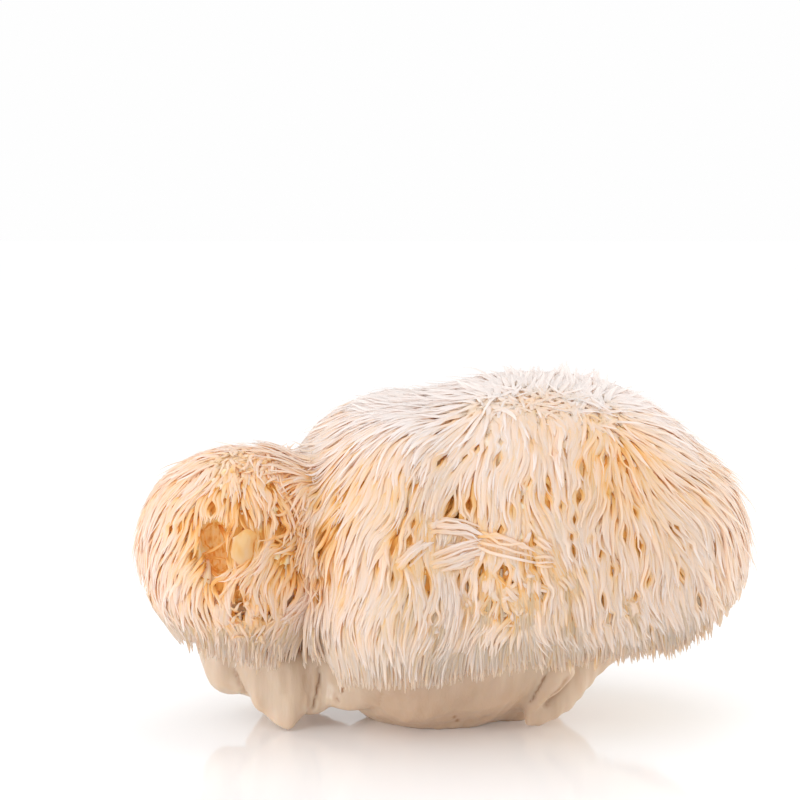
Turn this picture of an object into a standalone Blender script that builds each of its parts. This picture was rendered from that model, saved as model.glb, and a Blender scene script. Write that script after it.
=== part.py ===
"""A lion's mane mushroom: one fruiting body with a large lobe and a small side lobe, both covered
in hanging spines, on a bare fleshy base that is cut off flat where it grew.

Metres, +Z up. The origin is on the cut, under the middle of the mushroom, and -Y is its front.
"""

import math
import random
from collections import namedtuple

import bmesh
import bpy
import numpy as np
from mathutils import Matrix, Vector

# ---- Driving dimensions ----------------------------------------------------------------------
# A lobe's radii reach to the outside of its coat of spines. Dome and skirt are how square its
# outline is above and below its widest: 2 is an ellipse. Its crown is where the spines part, and
# its tuck is how far under itself the coat clings: 0 is down to the sides, 1 is right under.
Lobe = namedtuple("Lobe", "centre radii dome skirt crown coat tuck locks")
MAIN_LOBE = Lobe(
    centre=(0.0240, 0.000, 0.0490),
    radii=(0.0480, 0.0465, 0.0416),
    dome=2.3,
    skirt=2.8,
    crown=(0.026, -0.010, 0.092),
    coat=0.0090,
    tuck=0.50,
    locks=290,
)
RIGHT_LOBE = Lobe(
    centre=(0.0557, -0.001, 0.0447),
    radii=(0.0245, 0.0340, 0.0288),
    dome=2.1,
    skirt=2.2,
    crown=(0.030, -0.010, 0.080),
    coat=0.0090,
    tuck=0.70,
    locks=150,
)
SHOULDER = Lobe(
    centre=(-0.0100, 0.006, 0.0515),
    radii=(0.0315, 0.0360, 0.0336),
    dome=2.2,
    skirt=3.0,
    crown=(0.020, -0.006, 0.092),
    coat=0.0090,
    tuck=0.40,
    locks=170,
)
FRONT_LOBE = Lobe(
    centre=(-0.0080, -0.015, 0.0460),
    radii=(0.0260, 0.0300, 0.0370),
    dome=2.2,
    skirt=3.0,
    crown=(0.020, -0.010, 0.090),
    coat=0.0090,
    tuck=0.40,
    locks=150,
)
SIDE_LOBE = Lobe(
    centre=(-0.0515, -0.010, 0.0460),
    radii=(0.0272, 0.0290, 0.0266),
    dome=2.2,
    skirt=2.1,
    crown=(-0.045, -0.010, 0.074),
    coat=0.0080,
    tuck=0.70,
    locks=170,
)
LOBES = (MAIN_LOBE, RIGHT_LOBE, SHOULDER, FRONT_LOBE, SIDE_LOBE)
BLEND = 0.002  # how softly the lobes run into each other
PROBE = 0.0005  # how far apart the slope of the flesh is felt
FILLED = 0.5  # how much of the coat's depth is solid, with the locks standing out of the rest
UNDERSIDE = 0.78  # how deep a lobe's flesh is below its widest, against its coat

# The coat, drawn together into locks of spines
LOCK_LENGTH = 0.030
LOCK_RADIUS = 0.0030
TIP_RADIUS = 0.0009
THINS_LATE = 2.2  # how late a lock thins: 1 is evenly all the way
LOCK_STEPS = 9
LENGTHS = (0.85, 1.1)  # the shortest and the longest lock, against LOCK_LENGTH
DEPTHS = (0.9, 1.5)  # how deep in the coat the middle of a lock lies, against LOCK_RADIUS
LEAVES_OUT, LEAVES_AWAY, LEAVES_DOWN = 1.3, 0.7, 0.2  # the way a lock leaves the flesh
KEEPS_ON, DRAWN_AWAY, DRAWN_DOWN = 1.2, 0.35, 0.75  # what turns its way at each step
FLATTENED = 0.6  # how much of the way out of the flesh it gives up at each step
PRESSED, RAISED = 0.7, 0.6  # how much of its height over and under the coat it makes up
FEWEST_PLACES = 3  # a lock with fewer is too short to stand out
# How high the tips hang above the cut, from one end of the mushroom to the other: places along it,
# each with its height
FRINGE = (
    (-0.077, 0.0370),
    (-0.073, 0.0335),
    (-0.067, 0.0262),
    (-0.062, 0.0235),
    (-0.045, 0.0195),
    (-0.034, 0.0215),
    (-0.030, 0.0165),
    (-0.012, 0.0190),
    (0.008, 0.0203),
    (0.020, 0.0235),
    (0.034, 0.0243),
    (0.045, 0.0248),
    (0.057, 0.0247),
    (0.068, 0.0295),
    (0.077, 0.0360),
)
FRINGE_JITTER = 0.0015
LOWEST_ROOT = -0.80  # how far a root may face downwards: -1 is straight down
DEEPEST_ROOT = -0.0035  # how far a root may be inside the flesh of the lobe beside its own

# The bare base under the coat: a bowl, and torn flaps of flesh. A flap is the skin stretched
# round a few balls, each a place and a radius.
BOWL_CENTRE = (-0.001, -0.005, 0.0240)
BOWL_RADII = (0.0350, 0.0255, 0.0272)
LEFT_PAD = (
    ((-0.0590, -0.004, 0.0185), 0.0055),
    ((-0.0555, -0.008, 0.0115), 0.0042),
    ((-0.0490, -0.010, 0.0105), 0.0042),
    ((-0.0450, 0.006, 0.0200), 0.0070),
)
LEFT_WEDGE = (
    ((-0.0490, -0.014, 0.0160), 0.0030),
    ((-0.0465, -0.017, 0.0075), 0.0032),
    ((-0.0397, -0.018, 0.0022), 0.0025),
    ((-0.0385, -0.017, 0.0060), 0.0030),
    ((-0.0380, -0.014, 0.0180), 0.0035),
    ((-0.0450, 0.000, 0.0190), 0.0060),
)
LEFT_FOLD = (
    ((-0.0335, -0.014, 0.0066), 0.0028),
    ((-0.0308, -0.013, 0.0060), 0.0025),
    ((-0.0320, -0.012, 0.0180), 0.0045),
    ((-0.0340, 0.002, 0.0180), 0.0060),
)
BACK_FOLD = (
    ((-0.0480, 0.010, 0.0120), 0.0050),
    ((-0.0420, 0.004, 0.0010), 0.0035),
    ((-0.0200, 0.006, 0.0160), 0.0080),
)
TORN_BIT = (
    ((-0.0272, -0.015, 0.0078), 0.0026),
    ((-0.0215, -0.017, 0.0074), 0.0032),
    ((-0.0240, -0.008, 0.0170), 0.0070),
)
RIGHT_SHEET = (
    ((0.0430, -0.0090, 0.0185), 0.0035),
    ((0.0375, -0.0115, 0.0112), 0.0024),
    ((0.0286, -0.0140, 0.0040), 0.0020),
    ((0.0230, -0.0155, 0.0019), 0.0019),
    ((0.0235, -0.0130, 0.0110), 0.0030),
    ((0.0300, -0.0080, 0.0180), 0.0060),
)
RIGHT_RIDGE = (
    ((0.0312, -0.0195, 0.0160), 0.0026),
    ((0.0293, -0.0195, 0.0115), 0.0020),
    ((0.0255, -0.0190, 0.0078), 0.0017),
    ((0.0226, -0.0182, 0.0048), 0.0015),
    ((0.0240, -0.0130, 0.0120), 0.0035),
)
RIGHT_FOLD = (
    ((0.0400, 0.012, 0.0210), 0.0065),
    ((0.0260, 0.008, 0.0060), 0.0050),
    ((0.0190, -0.004, 0.0010), 0.0050),
    ((0.0150, 0.010, 0.0180), 0.0080),
)
FLAPS = (
    LEFT_PAD,
    LEFT_WEDGE,
    LEFT_FOLD,
    BACK_FOLD,
    TORN_BIT,
    RIGHT_SHEET,
    RIGHT_RIDGE,
    RIGHT_FOLD,
)

# How fine the fused surface is
VOXEL = 0.0014
MOST_TRIANGLES = 9400
KNIFE = 0.3  # a block well wider than the base
FLESH_COLOUR = (0.86, 0.66, 0.45, 1.0)
FLESH_ROUGHNESS = 0.6

DOWN = Vector((0, 0, -1))
AXES = (Vector((1, 0, 0)), Vector((0, 1, 0)), Vector((0, 0, 1)))


def clear_scene():
    for obj in list(bpy.data.objects):
        bpy.data.objects.remove(obj)


def new_collection(name):
    collection = bpy.data.collections.new(name)
    bpy.context.scene.collection.children.link(collection)
    return collection


# ---- The form under the spines, as a distance from its surface ---------------------------------
def squareness(lobe, height):
    return lobe.dome if height > 0 else lobe.skirt


def distance_to_lobe(point, lobe):
    """How far a point is outside a lobe's flesh, near enough for a rounded form."""
    x, y, z = point - Vector(lobe.centre)
    a, b, c = (radius - lobe.coat for radius in lobe.radii)
    power = squareness(lobe, z)
    ring = max(math.hypot(x / a, y / b), 1e-6)
    size = max((ring**power + abs(z / c) ** power) ** (1 / power), 1e-6)
    sideways = (ring / size) ** (power - 1) / ring
    upwards = abs(z / c / size) ** (power - 1) / c
    slope = Vector((sideways * x / a**2, sideways * y / b**2, upwards)).length
    return (size - 1) / max(slope, 1e-6)


def distance_to_flesh(point):
    """The lobes' distances, run together smoothly."""
    total = sum(math.exp(-distance_to_lobe(point, lobe) / BLEND) for lobe in LOBES)
    return -math.log(max(total, 1e-300)) * BLEND


def outward(point):
    """The way straight out of the flesh at a point."""
    slope = [
        distance_to_flesh(point + axis * PROBE) - distance_to_flesh(point - axis * PROBE)
        for axis in AXES
    ]
    return Vector(slope).normalized()


def on_lobe(lobe, way, inset):
    """The place on a lobe in a direction from its middle, a depth in from the coat's outside."""
    power = squareness(lobe, way.z)
    reach = (math.hypot(way.x, way.y) ** power + abs(way.z) ** power) ** (-1 / power)
    return Vector(w * reach * (radius - inset) for w, radius in zip(way, lobe.radii))


# ---- Locks of spines ---------------------------------------------------------------------------
def roots_on(lobe):
    """Evenly spread places on a lobe's flesh, those inside the other lobes left out."""
    golden_angle = math.pi * (3 - math.sqrt(5))
    for i in range(lobe.locks):
        height = 1 - 2 * (i + 0.5) / lobe.locks
        ring = math.sqrt(1 - height**2)
        way = Vector((ring * math.cos(i * golden_angle), ring * math.sin(i * golden_angle), height))
        root = Vector(lobe.centre) + on_lobe(lobe, way, lobe.coat)
        if distance_to_flesh(root) > DEEPEST_ROOT:
            yield root


def fringe_height(place):
    along, heights = zip(*FRINGE)
    return float(np.interp(place.x, along, heights))


def lock_route(root, lobe, chance):
    """A lock starts out of the flesh, leans away from the crown and falls along the coat to its tip."""
    out = outward(root)
    away = root - Vector(lobe.crown)
    away = (away - out * away.dot(out)).normalized()
    way = (out * LEAVES_OUT + away * LEAVES_AWAY + DOWN * LEAVES_DOWN).normalized()
    step = LOCK_LENGTH * chance.uniform(*LENGTHS) / LOCK_STEPS
    depth = lobe.coat - LOCK_RADIUS * chance.uniform(*DEPTHS)
    lowest = fringe_height(root) + chance.uniform(-1, 1) * FRINGE_JITTER
    point = root + out * LOCK_RADIUS / 2
    route = [point]
    for i in range(LOCK_STEPS):
        point = point + way * step
        out = outward(point)
        above = distance_to_flesh(point) - depth
        clings = out.z > -lobe.tuck
        if above > 0 and clings:
            point = point - out * above * PRESSED
        elif above < 0 and i > 1:
            point = point - out * above * RAISED
        if point.z < lowest:
            break
        along = away - out * away.dot(out)
        way = way * KEEPS_ON + along * DRAWN_AWAY * max(out.z, 0) + DOWN * DRAWN_DOWN
        way = (way - out * way.dot(out) * FLATTENED * clings).normalized()
        route.append(point)
    return route


def lock_radius(share):
    """Thick for the first half of the lock, then down to a point."""
    return TIP_RADIUS + (LOCK_RADIUS - TIP_RADIUS) * (1 - share**THINS_LATE)


def add_locks(collection):
    """Every lock of the coat, as one spline each of a single curve."""
    curve = bpy.data.curves.new("locks", "CURVE")
    curve.dimensions = "3D"
    curve.bevel_depth = 1.0
    curve.bevel_resolution = 1
    curve.use_fill_caps = True
    chance = random.Random(7)
    for lobe in LOBES:
        for root in roots_on(lobe):
            if outward(root).z < LOWEST_ROOT:
                continue
            route = lock_route(root, lobe, chance)
            if len(route) < FEWEST_PLACES:
                continue
            spline = curve.splines.new("POLY")
            spline.points.add(len(route) - 1)
            for i, (spot, place) in enumerate(zip(spline.points, route)):
                spot.co = (*place, 1)
                spot.radius = lock_radius(i / (len(route) - 1))
    locks = bpy.data.objects.new("locks", curve)
    collection.objects.link(locks)
    return locks


# ---- Flesh -------------------------------------------------------------------------------------
def add_lobe(mesh, lobe):
    """A lobe under its coat: rounded above, squarer and shallower below."""
    ball = bmesh.ops.create_uvsphere(mesh, u_segments=48, v_segments=32, radius=1)
    for vert in ball["verts"]:
        place = on_lobe(lobe, vert.co.normalized(), lobe.coat * (1 - FILLED))
        if place.z < 0:
            place.z *= UNDERSIDE
        vert.co = Vector(lobe.centre) + place


def add_bowl(mesh):
    place = Matrix.Translation(BOWL_CENTRE) @ Matrix.Diagonal((*BOWL_RADII, 1))
    bmesh.ops.create_uvsphere(mesh, u_segments=48, v_segments=24, radius=1, matrix=place)


def flap_skin(flap):
    """A torn flap of flesh: the skin stretched round its balls."""
    mesh = bmesh.new()
    for centre, radius in flap:
        place = Matrix.Translation(centre)
        bmesh.ops.create_icosphere(mesh, subdivisions=2, radius=radius, matrix=place)
    bmesh.ops.delete(mesh, geom=list(mesh.edges), context="EDGES_FACES")
    bmesh.ops.convex_hull(mesh, input=list(mesh.verts))
    inside = [vert for vert in mesh.verts if not vert.link_faces]
    bmesh.ops.delete(mesh, geom=inside, context="VERTS")
    data = bpy.data.meshes.new("flap")
    mesh.to_mesh(data)
    mesh.free()
    return data


def add_flesh(collection):
    """The lobes under their coat, and the bare base."""
    mesh = bmesh.new()
    for lobe in LOBES:
        add_lobe(mesh, lobe)
    add_bowl(mesh)
    for flap in FLAPS:
        mesh.from_mesh(flap_skin(flap))
    data = bpy.data.meshes.new("flesh")
    mesh.to_mesh(data)
    mesh.free()
    flesh = bpy.data.objects.new("flesh", data)
    collection.objects.link(flesh)
    return flesh


# ---- Fusing ------------------------------------------------------------------------------------
def baked(obj):
    """The object's shape as the viewport shows it, as a mesh of its own."""
    bpy.context.view_layer.update()
    graph = bpy.context.evaluated_depsgraph_get()
    return bpy.data.meshes.new_from_object(obj.evaluated_get(graph))


def joined(flesh, locks):
    """The flesh and its locks in one mesh, not yet fused."""
    mesh = bmesh.new()
    for obj in (flesh, locks):
        mesh.from_mesh(baked(obj))
    bmesh.ops.remove_doubles(mesh, verts=mesh.verts, dist=1e-6)
    data = bpy.data.meshes.new("fruiting_body")
    mesh.to_mesh(data)
    mesh.free()
    return data


def keep_largest_island(data):
    """Drops the crumbs that fusing leaves at the thinnest tips."""
    mesh = bmesh.new()
    mesh.from_mesh(data)
    left, islands = set(mesh.verts), []
    while left:
        edge_of_island = [left.pop()]
        island = set(edge_of_island)
        while edge_of_island:
            vert = edge_of_island.pop()
            for other in (edge.other_vert(vert) for edge in vert.link_edges):
                if other in left:
                    left.discard(other)
                    island.add(other)
                    edge_of_island.append(other)
        islands.append(island)
    largest = max(islands, key=len)
    crumbs = [vert for island in islands if island is not largest for vert in island]
    bmesh.ops.delete(mesh, geom=crumbs, context="VERTS")
    mesh.to_mesh(data)
    mesh.free()


def fuse(obj):
    """Makes one skin of everything in the object, then thins its triangles."""
    remesh = obj.modifiers.new("fuse", "REMESH")
    remesh.mode = "VOXEL"
    remesh.voxel_size = VOXEL
    obj.data = baked(obj)
    obj.modifiers.clear()
    keep_largest_island(obj.data)
    triangulate = obj.modifiers.new("triangles", "TRIANGULATE")
    triangulate.quad_method = "BEAUTY"
    thin = obj.modifiers.new("thin", "DECIMATE")
    thin.ratio = MOST_TRIANGLES / (2 * len(obj.data.polygons))
    obj.data = baked(obj)
    obj.modifiers.clear()


def cut_flat(obj, cutters):
    """Cuts the base off flat at the origin's height, as a knife did."""
    mesh = bmesh.new()
    bmesh.ops.create_cube(mesh, size=KNIFE, matrix=Matrix.Translation((0, 0, -KNIFE / 2)))
    data = bpy.data.meshes.new("knife")
    mesh.to_mesh(data)
    mesh.free()
    knife = bpy.data.objects.new("knife", data)
    cutters.objects.link(knife)
    knife.hide_render = True
    knife.display_type = "WIRE"
    cut = obj.modifiers.new("cut", "BOOLEAN")
    cut.operation = "DIFFERENCE"
    cut.object = knife


def flesh_material():
    material = bpy.data.materials.new("mushroom_flesh")
    material.use_nodes = True
    shader = material.node_tree.nodes["Principled BSDF"]
    shader.inputs["Base Color"].default_value = FLESH_COLOUR
    shader.inputs["Roughness"].default_value = FLESH_ROUGHNESS
    shader.inputs["Metallic"].default_value = 0.0
    return material


def main():
    clear_scene()
    parts = new_collection("lions_mane_mushroom")
    helpers = new_collection("cutters")
    flesh = add_flesh(helpers)
    locks = add_locks(helpers)
    data = joined(flesh, locks)
    for helper in (flesh, locks):
        bpy.data.objects.remove(helper)
    mushroom = bpy.data.objects.new("fruiting_body", data)
    parts.objects.link(mushroom)
    fuse(mushroom)
    cut_flat(mushroom, helpers)
    mushroom.data.materials.clear()
    mushroom.data.materials.append(flesh_material())


main()
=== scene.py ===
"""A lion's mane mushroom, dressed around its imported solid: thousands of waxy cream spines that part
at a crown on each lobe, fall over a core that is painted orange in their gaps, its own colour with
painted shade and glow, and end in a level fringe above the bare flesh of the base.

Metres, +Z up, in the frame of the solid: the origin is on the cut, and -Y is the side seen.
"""

import math
from collections import namedtuple

import bmesh
import bpy
import numpy as np
from mathutils import Matrix, Vector
from mathutils.kdtree import KDTree


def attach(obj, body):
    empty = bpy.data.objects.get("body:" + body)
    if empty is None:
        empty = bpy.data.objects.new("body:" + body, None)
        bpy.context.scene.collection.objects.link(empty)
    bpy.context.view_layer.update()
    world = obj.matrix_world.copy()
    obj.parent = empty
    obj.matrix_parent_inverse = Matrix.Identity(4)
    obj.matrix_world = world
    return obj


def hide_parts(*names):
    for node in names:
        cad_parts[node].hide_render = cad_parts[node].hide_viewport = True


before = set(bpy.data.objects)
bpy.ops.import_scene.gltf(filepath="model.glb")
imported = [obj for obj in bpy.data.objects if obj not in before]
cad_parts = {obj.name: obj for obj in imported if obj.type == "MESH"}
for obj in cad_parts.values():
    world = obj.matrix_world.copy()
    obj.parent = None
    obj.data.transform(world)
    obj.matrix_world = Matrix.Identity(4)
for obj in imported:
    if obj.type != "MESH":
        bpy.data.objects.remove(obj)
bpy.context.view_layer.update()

# ---- Camera
MM = 0.001
PICTURE = 800  # pixels, both ways
PICTURE_WIDTH = 0.208  # metres across the picture, at the mushroom
CAMERA_DISTANCE = 0.60
CAMERA_RISE = math.radians(7.5)
AIM = np.array((-0.0107, 0.0, 0.0833))
FORWARD = np.array((0, math.cos(CAMERA_RISE), -math.sin(CAMERA_RISE)))
RIGHT = np.array((1.0, 0, 0))
UP = np.array((0, math.sin(CAMERA_RISE), math.cos(CAMERA_RISE)))
EYE = AIM - FORWARD * CAMERA_DISTANCE

# ---- The form under the coat, as in the solid
Lobe = namedtuple("Lobe", "centre radii dome skirt coat tuck")
LOBE_ROWS = (  # the big lobe, its right end, its left shoulder, its left front and the side lobe
    ((0.0240, 0.000, 0.0490), (0.0480, 0.0465, 0.0416), 2.3, 2.8, 0.0090, -0.50),
    ((0.0557, -0.001, 0.0447), (0.0245, 0.0340, 0.0288), 2.1, 2.2, 0.0090, -0.40),
    ((-0.0100, 0.006, 0.0515), (0.0315, 0.0360, 0.0336), 2.2, 3.0, 0.0090, -0.40),
    ((-0.0080, -0.015, 0.0460), (0.0260, 0.0300, 0.0370), 2.2, 3.0, 0.0090, -0.40),
    ((-0.0515, -0.010, 0.0460), (0.0272, 0.0290, 0.0266), 2.2, 2.1, 0.0080, -0.75),
)
LOBES = [Lobe(np.array(centre), np.array(radii), *rest) for centre, radii, *rest in LOBE_ROWS]
MAIN, SIDE = 0, 4
BLEND = 0.002  # how softly the lobes run together
UNDERSIDE = 0.78  # how high the lobes are below their middles, of what their radii say
BOWL_CENTRE = np.array((-0.001, -0.005, 0.0240))
BOWL_RADII = np.array((0.0350, 0.0255, 0.0272))

# The tips of the fringe, from one end of the mushroom to the other: how far along, and how high
FRINGE = (
    (-0.077, 0.0370), (-0.073, 0.0335), (-0.067, 0.0262), (-0.062, 0.0235), (-0.045, 0.0195),
    (-0.0295, 0.0225), (-0.0262, 0.0170), (-0.012, 0.0190), (0.008, 0.0203), (0.020, 0.0235),
    (0.034, 0.0243), (0.045, 0.0248), (0.057, 0.0247), (0.068, 0.0298), (0.077, 0.0370),
)
FRINGE_JITTER = 0.0012

chance = np.random.default_rng(11)
DOWN = np.array((0, 0, -1.0))


def unit(vectors):
    return vectors / np.maximum(np.linalg.norm(vectors, axis=-1, keepdims=True), 1e-9)


def dot(a, b):
    return np.sum(a * b, axis=-1, keepdims=True)


def smooth(value, low, high):
    share = np.clip((value - low) / (high - low), 0, 1)
    return share * share * (3 - 2 * share)


def lobe_distance(points, lobe):
    x, y, z = (points - lobe.centre).T
    a, b, c = lobe.radii - lobe.coat
    power = np.where(z > 0, lobe.dome, lobe.skirt)
    ring = np.maximum(np.hypot(x / a, y / b), 1e-6)
    rise = np.abs(z / c)
    size = np.maximum((ring**power + rise**power) ** (1 / power), 1e-6)
    sideways = (ring / size) ** (power - 1) / ring
    upwards = (rise / size) ** (power - 1) / c
    slope = np.sqrt((sideways * x / a**2) ** 2 + (sideways * y / b**2) ** 2 + upwards**2)
    return (size - 1) / np.maximum(slope, 1e-6)


def distance(points):
    """How far points are outside the flesh under the coat."""
    flat = points.reshape(-1, 3)
    total = sum(np.exp(-lobe_distance(flat, lobe) / BLEND) for lobe in LOBES)
    return (-np.log(np.maximum(total, 1e-300)) * BLEND).reshape(points.shape[:-1])


def outward(points):
    step = 0.0005
    here = distance(points)
    slope = [distance(points + axis * step) - here for axis in np.eye(3)]
    return unit(np.stack(slope, axis=-1))


def on_lobe(lobe, ways, inset):
    """Places in unit directions from a lobe's middle, at an inset under its outside."""
    power = np.where(ways[:, 2] > 0, lobe.dome, lobe.skirt)
    ring = np.hypot(ways[:, 0], ways[:, 1])
    reach = (ring**power + np.abs(ways[:, 2]) ** power) ** (-1 / power)
    return lobe.centre + ways * reach[:, None] * (lobe.radii - inset)


def fringe_height(points):
    along, heights = zip(*FRINGE)
    return np.interp(points[..., 0], along, heights)


MARCH_START = CAMERA_DISTANCE - 0.08  # in front of the whole mushroom
MARCH_STEPS, MARCH_SHARE = 60, 0.8


def on_coat(pixels, heights):
    """Where pixels of the picture fall on the coat, at heights over the flesh."""
    pixels = np.asarray(pixels, float)
    across = (pixels[..., 0] / PICTURE - 0.5) * PICTURE_WIDTH
    along = (0.5 - pixels[..., 1] / PICTURE) * PICTURE_WIDTH
    rays = unit(FORWARD * CAMERA_DISTANCE + RIGHT * across[..., None] + UP * along[..., None])
    places = EYE + rays * MARCH_START
    for _ in range(MARCH_STEPS):
        gap = distance(places) - heights
        places = places + rays * gap[..., None] * MARCH_SHARE
    return places


def patchy(points, patches, height, fade):
    """The most of any patch at each place: a patch is a pixel, a radius and an amount."""
    total = np.zeros(len(points))
    for pixel, radius, amount in patches:
        far = np.linalg.norm(points - on_coat(pixel, height), axis=-1)
        total = np.maximum(total, amount * (1 - smooth(far, radius * 0.4, radius * fade)))
    return total


# ---- Waves: smooth vector noise
class Waves:
    """A smooth field of vectors about as long as 1, from a few sine waves each way."""

    def __init__(self, wavelength, seed, count=7):
        dice = np.random.default_rng(seed)
        self.ways = unit(dice.normal(size=(3, count, 3))) * 2 * math.pi / wavelength
        self.ways *= dice.uniform(0.6, 1.5, size=(3, count, 1))
        self.phases = dice.uniform(0, 2 * math.pi, size=(3, count))
        self.scale = math.sqrt(2 / count)

    def __call__(self, points):
        waves = [
            np.sin(points @ ways.T + phases).sum(axis=-1)
            for ways, phases in zip(self.ways, self.phases)
        ]
        return np.stack(waves, axis=-1) * self.scale


# ---- Roots
AREA_POWER = 1.6  # of the usual formula for the area of an ellipsoid
BURIED = -0.0025  # a root this far inside another lobe is left out


def spread(lobe, spacing, jitter):
    """Evenly spread directions from a lobe's middle, for roots about a spacing apart."""
    a, b, c = lobe.radii - lobe.coat
    sides = (a * b) ** AREA_POWER + (a * c) ** AREA_POWER + (b * c) ** AREA_POWER
    count = int(4 * math.pi * (sides / 3) ** (1 / AREA_POWER) / spacing**2)
    turn = np.arange(count) * math.pi * (3 - math.sqrt(5))
    height = 1 - 2 * (np.arange(count) + 0.5) / count
    ring = np.sqrt(1 - height**2)
    ways = np.stack((ring * np.cos(turn), ring * np.sin(turn), height), axis=-1)
    ways += chance.normal(size=ways.shape) * jitter * spacing / min(a, b, c)
    return unit(ways)


def roots_of(spacing, jitter, lowest):
    """Roots on the flesh, with the lobe each is on."""
    places, lobes = [], []
    for index, lobe in enumerate(LOBES):
        ways = spread(lobe, spacing, jitter)
        roots = on_lobe(lobe, ways[ways[:, 2] > lowest], lobe.coat)
        keep = distance(roots) > BURIED
        places.append(roots[keep])
        lobes.append(np.full(keep.sum(), index))
    return np.concatenate(places), np.concatenate(lobes)


# ---- Combing: the way the spines take
STEPS = 18
HANGING = 13  # the step of a route by which it hangs down
CORE = 0.86  # how much of the coat's depth is flesh, with the spines lying over it
FIRST_LAYER = 0.82  # how deep in the coat, from the inside, a spine starts
WHORL_LAYER = 0.11  # how much further out it starts at a whorl
COATS = np.array([lobe.coat for lobe in LOBES])
TUCKS = np.array([lobe.tuck for lobe in LOBES])
WHORL = on_coat(((503, 410), (600, 420)), 0.006)
SIDE_WHORL = on_coat(((240, 466), (285, 462)), 0.006)
WHORLS = np.array((WHORL, WHORL, WHORL, WHORL, SIDE_WHORL))

COMBED = (0.001, 0.011)  # how far from a whorl the spines begin to lie over, and do so fully
LIFTED_NEAR, SHORTER_NEAR = (0.005, 0.015), (0.004, 0.022)  # likewise, for its height and length
RISEN = 0.28  # the share of its length by which a spine is at its own layer
RIGHT_END, LEFT_END = (0.030, 0.060), (0.050, 0.070)  # how far along the sweep sets in
STANDING, SINKING = 0.35, 0.2  # how much of a spine's first way is outwards, and down
SCATTER, WHORL_SCATTER = 0.08, 0.6  # how much of it is the spine's own, and more at a whorl
SPREADING, SWEPT = 0.46, 0.30  # pulls away from the whorl, and to the ends of the mushroom
PULL, STEEP_PULL = 0.24, 0.22  # pulls down, and more so on steep sides
SLOW_CURL, MID_CURL, FINE_CURL, OWN_CURL = 0.12, 0.15, 0.06, 0.07
SETTLING, CLINGING = 0.45, 0.75  # how soon a spine is at its layer, and how well it keeps to it
CURLED = (((302, 540), 0.010, 2.2), ((250, 620), 0.007, 1.2), ((520, 598), 0.006, 1.2))

slow_waves = Waves(0.050, 3)
mid_waves = Waves(0.017, 4)
fine_waves = Waves(0.007, 5)


def from_whorl(points, lobes):
    """The way from the nearest place on each point's lobe's whorl."""
    start, end = WHORLS[lobes, 0], WHORLS[lobes, 1]
    share = dot(points - start, end - start) / dot(end - start, end - start)
    return points - start - (end - start) * np.clip(share, 0, 1)


def comb(roots, lobes, lengths, layers, stray, wave):
    """Routes of STEPS + 1 places for spines: out of the flesh, away from the whorl and down."""
    coats = COATS[lobes][:, None]
    tucks = TUCKS[lobes][:, None]
    outs = outward(roots)
    away = from_whorl(roots, lobes)
    far = np.linalg.norm(away, axis=-1, keepdims=True)
    combed = smooth(far, *COMBED)
    away = unit(away - outs * dot(away, outs))
    own = chance.normal(size=roots.shape)
    scattered = own * (SCATTER + WHORL_SCATTER * (1 - combed))
    way = unit(outs * STANDING + away * combed + scattered + DOWN * SINKING)
    start = FIRST_LAYER + WHORL_LAYER * (1 - smooth(far, *LIFTED_NEAR))
    point = roots + outs * coats * start
    route = [point]
    lengths = lengths * (0.7 + 0.3 * smooth(far[:, 0], *SHORTER_NEAR))
    step = (lengths / STEPS)[:, None]
    curl = np.where(lobes == SIDE, 1.3, 1.0) + patchy(roots, CURLED, 0.004, 1.4)
    restless = curl[:, None] * wave
    for i in range(STEPS):
        share = (i + 1) / STEPS
        point = point + way * step
        outs = outward(point)
        height = distance(point)[:, None]
        target = coats * (start + (layers[:, None] - start) * smooth(share, 0, RISEN))
        clings = smooth(outs[:, 2:], tucks - 0.2, tucks + 0.2)
        loose = clings * (1 - stray[:, None] * share)
        error = height - target
        point = point - outs * error * SETTLING * np.where(error > 0, loose, 1.0)
        route.append(point)
        away = from_whorl(point, lobes)
        combed = smooth(np.linalg.norm(away, axis=-1, keepdims=True), *COMBED)
        along = unit(unit(away) * combed + own * 0.8 * (1 - combed))
        along = unit(along - outs * dot(along, outs))
        swirl = slow_waves(point) * SLOW_CURL + mid_waves(point) * MID_CURL
        swirl = (swirl + fine_waves(point) * FINE_CURL + own * OWN_CURL) * restless
        pull = PULL + STEEP_PULL * (1 - np.maximum(outs[:, 2:], 0))
        outwards = SPREADING * np.maximum(outs[:, 2:] + 0.25, 0)
        ends = smooth(point[:, :1], *RIGHT_END) - smooth(-point[:, :1], *LEFT_END)
        way = way + along * outwards + RIGHT * ends * SWEPT * clings
        way = way + DOWN * pull * (0.4 + 0.6 * combed) + swirl * clings * 0.8
        way = unit(way - outs * dot(way, outs) * CLINGING * clings)
    return np.stack(route, axis=1)


def sample(routes, shares):
    """Places along each route, at each row's own shares of its length."""
    at = np.clip(shares, 0, 1) * (routes.shape[1] - 1)
    low = np.minimum(at.astype(int), routes.shape[1] - 2)
    part = (at - low)[..., None]
    rows = np.arange(len(routes))[:, None]
    return routes[rows, low] * (1 - part) + routes[rows, low + 1] * part


def tree_of(points):
    tree = KDTree(len(points))
    for i, point in enumerate(points):
        tree.insert(point, i)
    tree.balance()
    return tree


def nearest(points, heads):
    tree = tree_of(heads)
    return np.array([tree.find(point)[1] for point in points])


def clump(routes, roots, guides, guide_roots, strength, tightness):
    """Draws each route to its nearest guide, more and more towards the tip."""
    mine = nearest(roots, guide_roots)
    share = np.linspace(0, 1, routes.shape[1])[None, :, None]
    offset = (roots - guide_roots[mine])[:, None]
    target = guides[mine] + offset * (1 - tightness * share)
    weight = strength[:, None, None] * smooth(share, 0.0, 0.85)
    return routes * (1 - weight) + target * weight, mine


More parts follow.
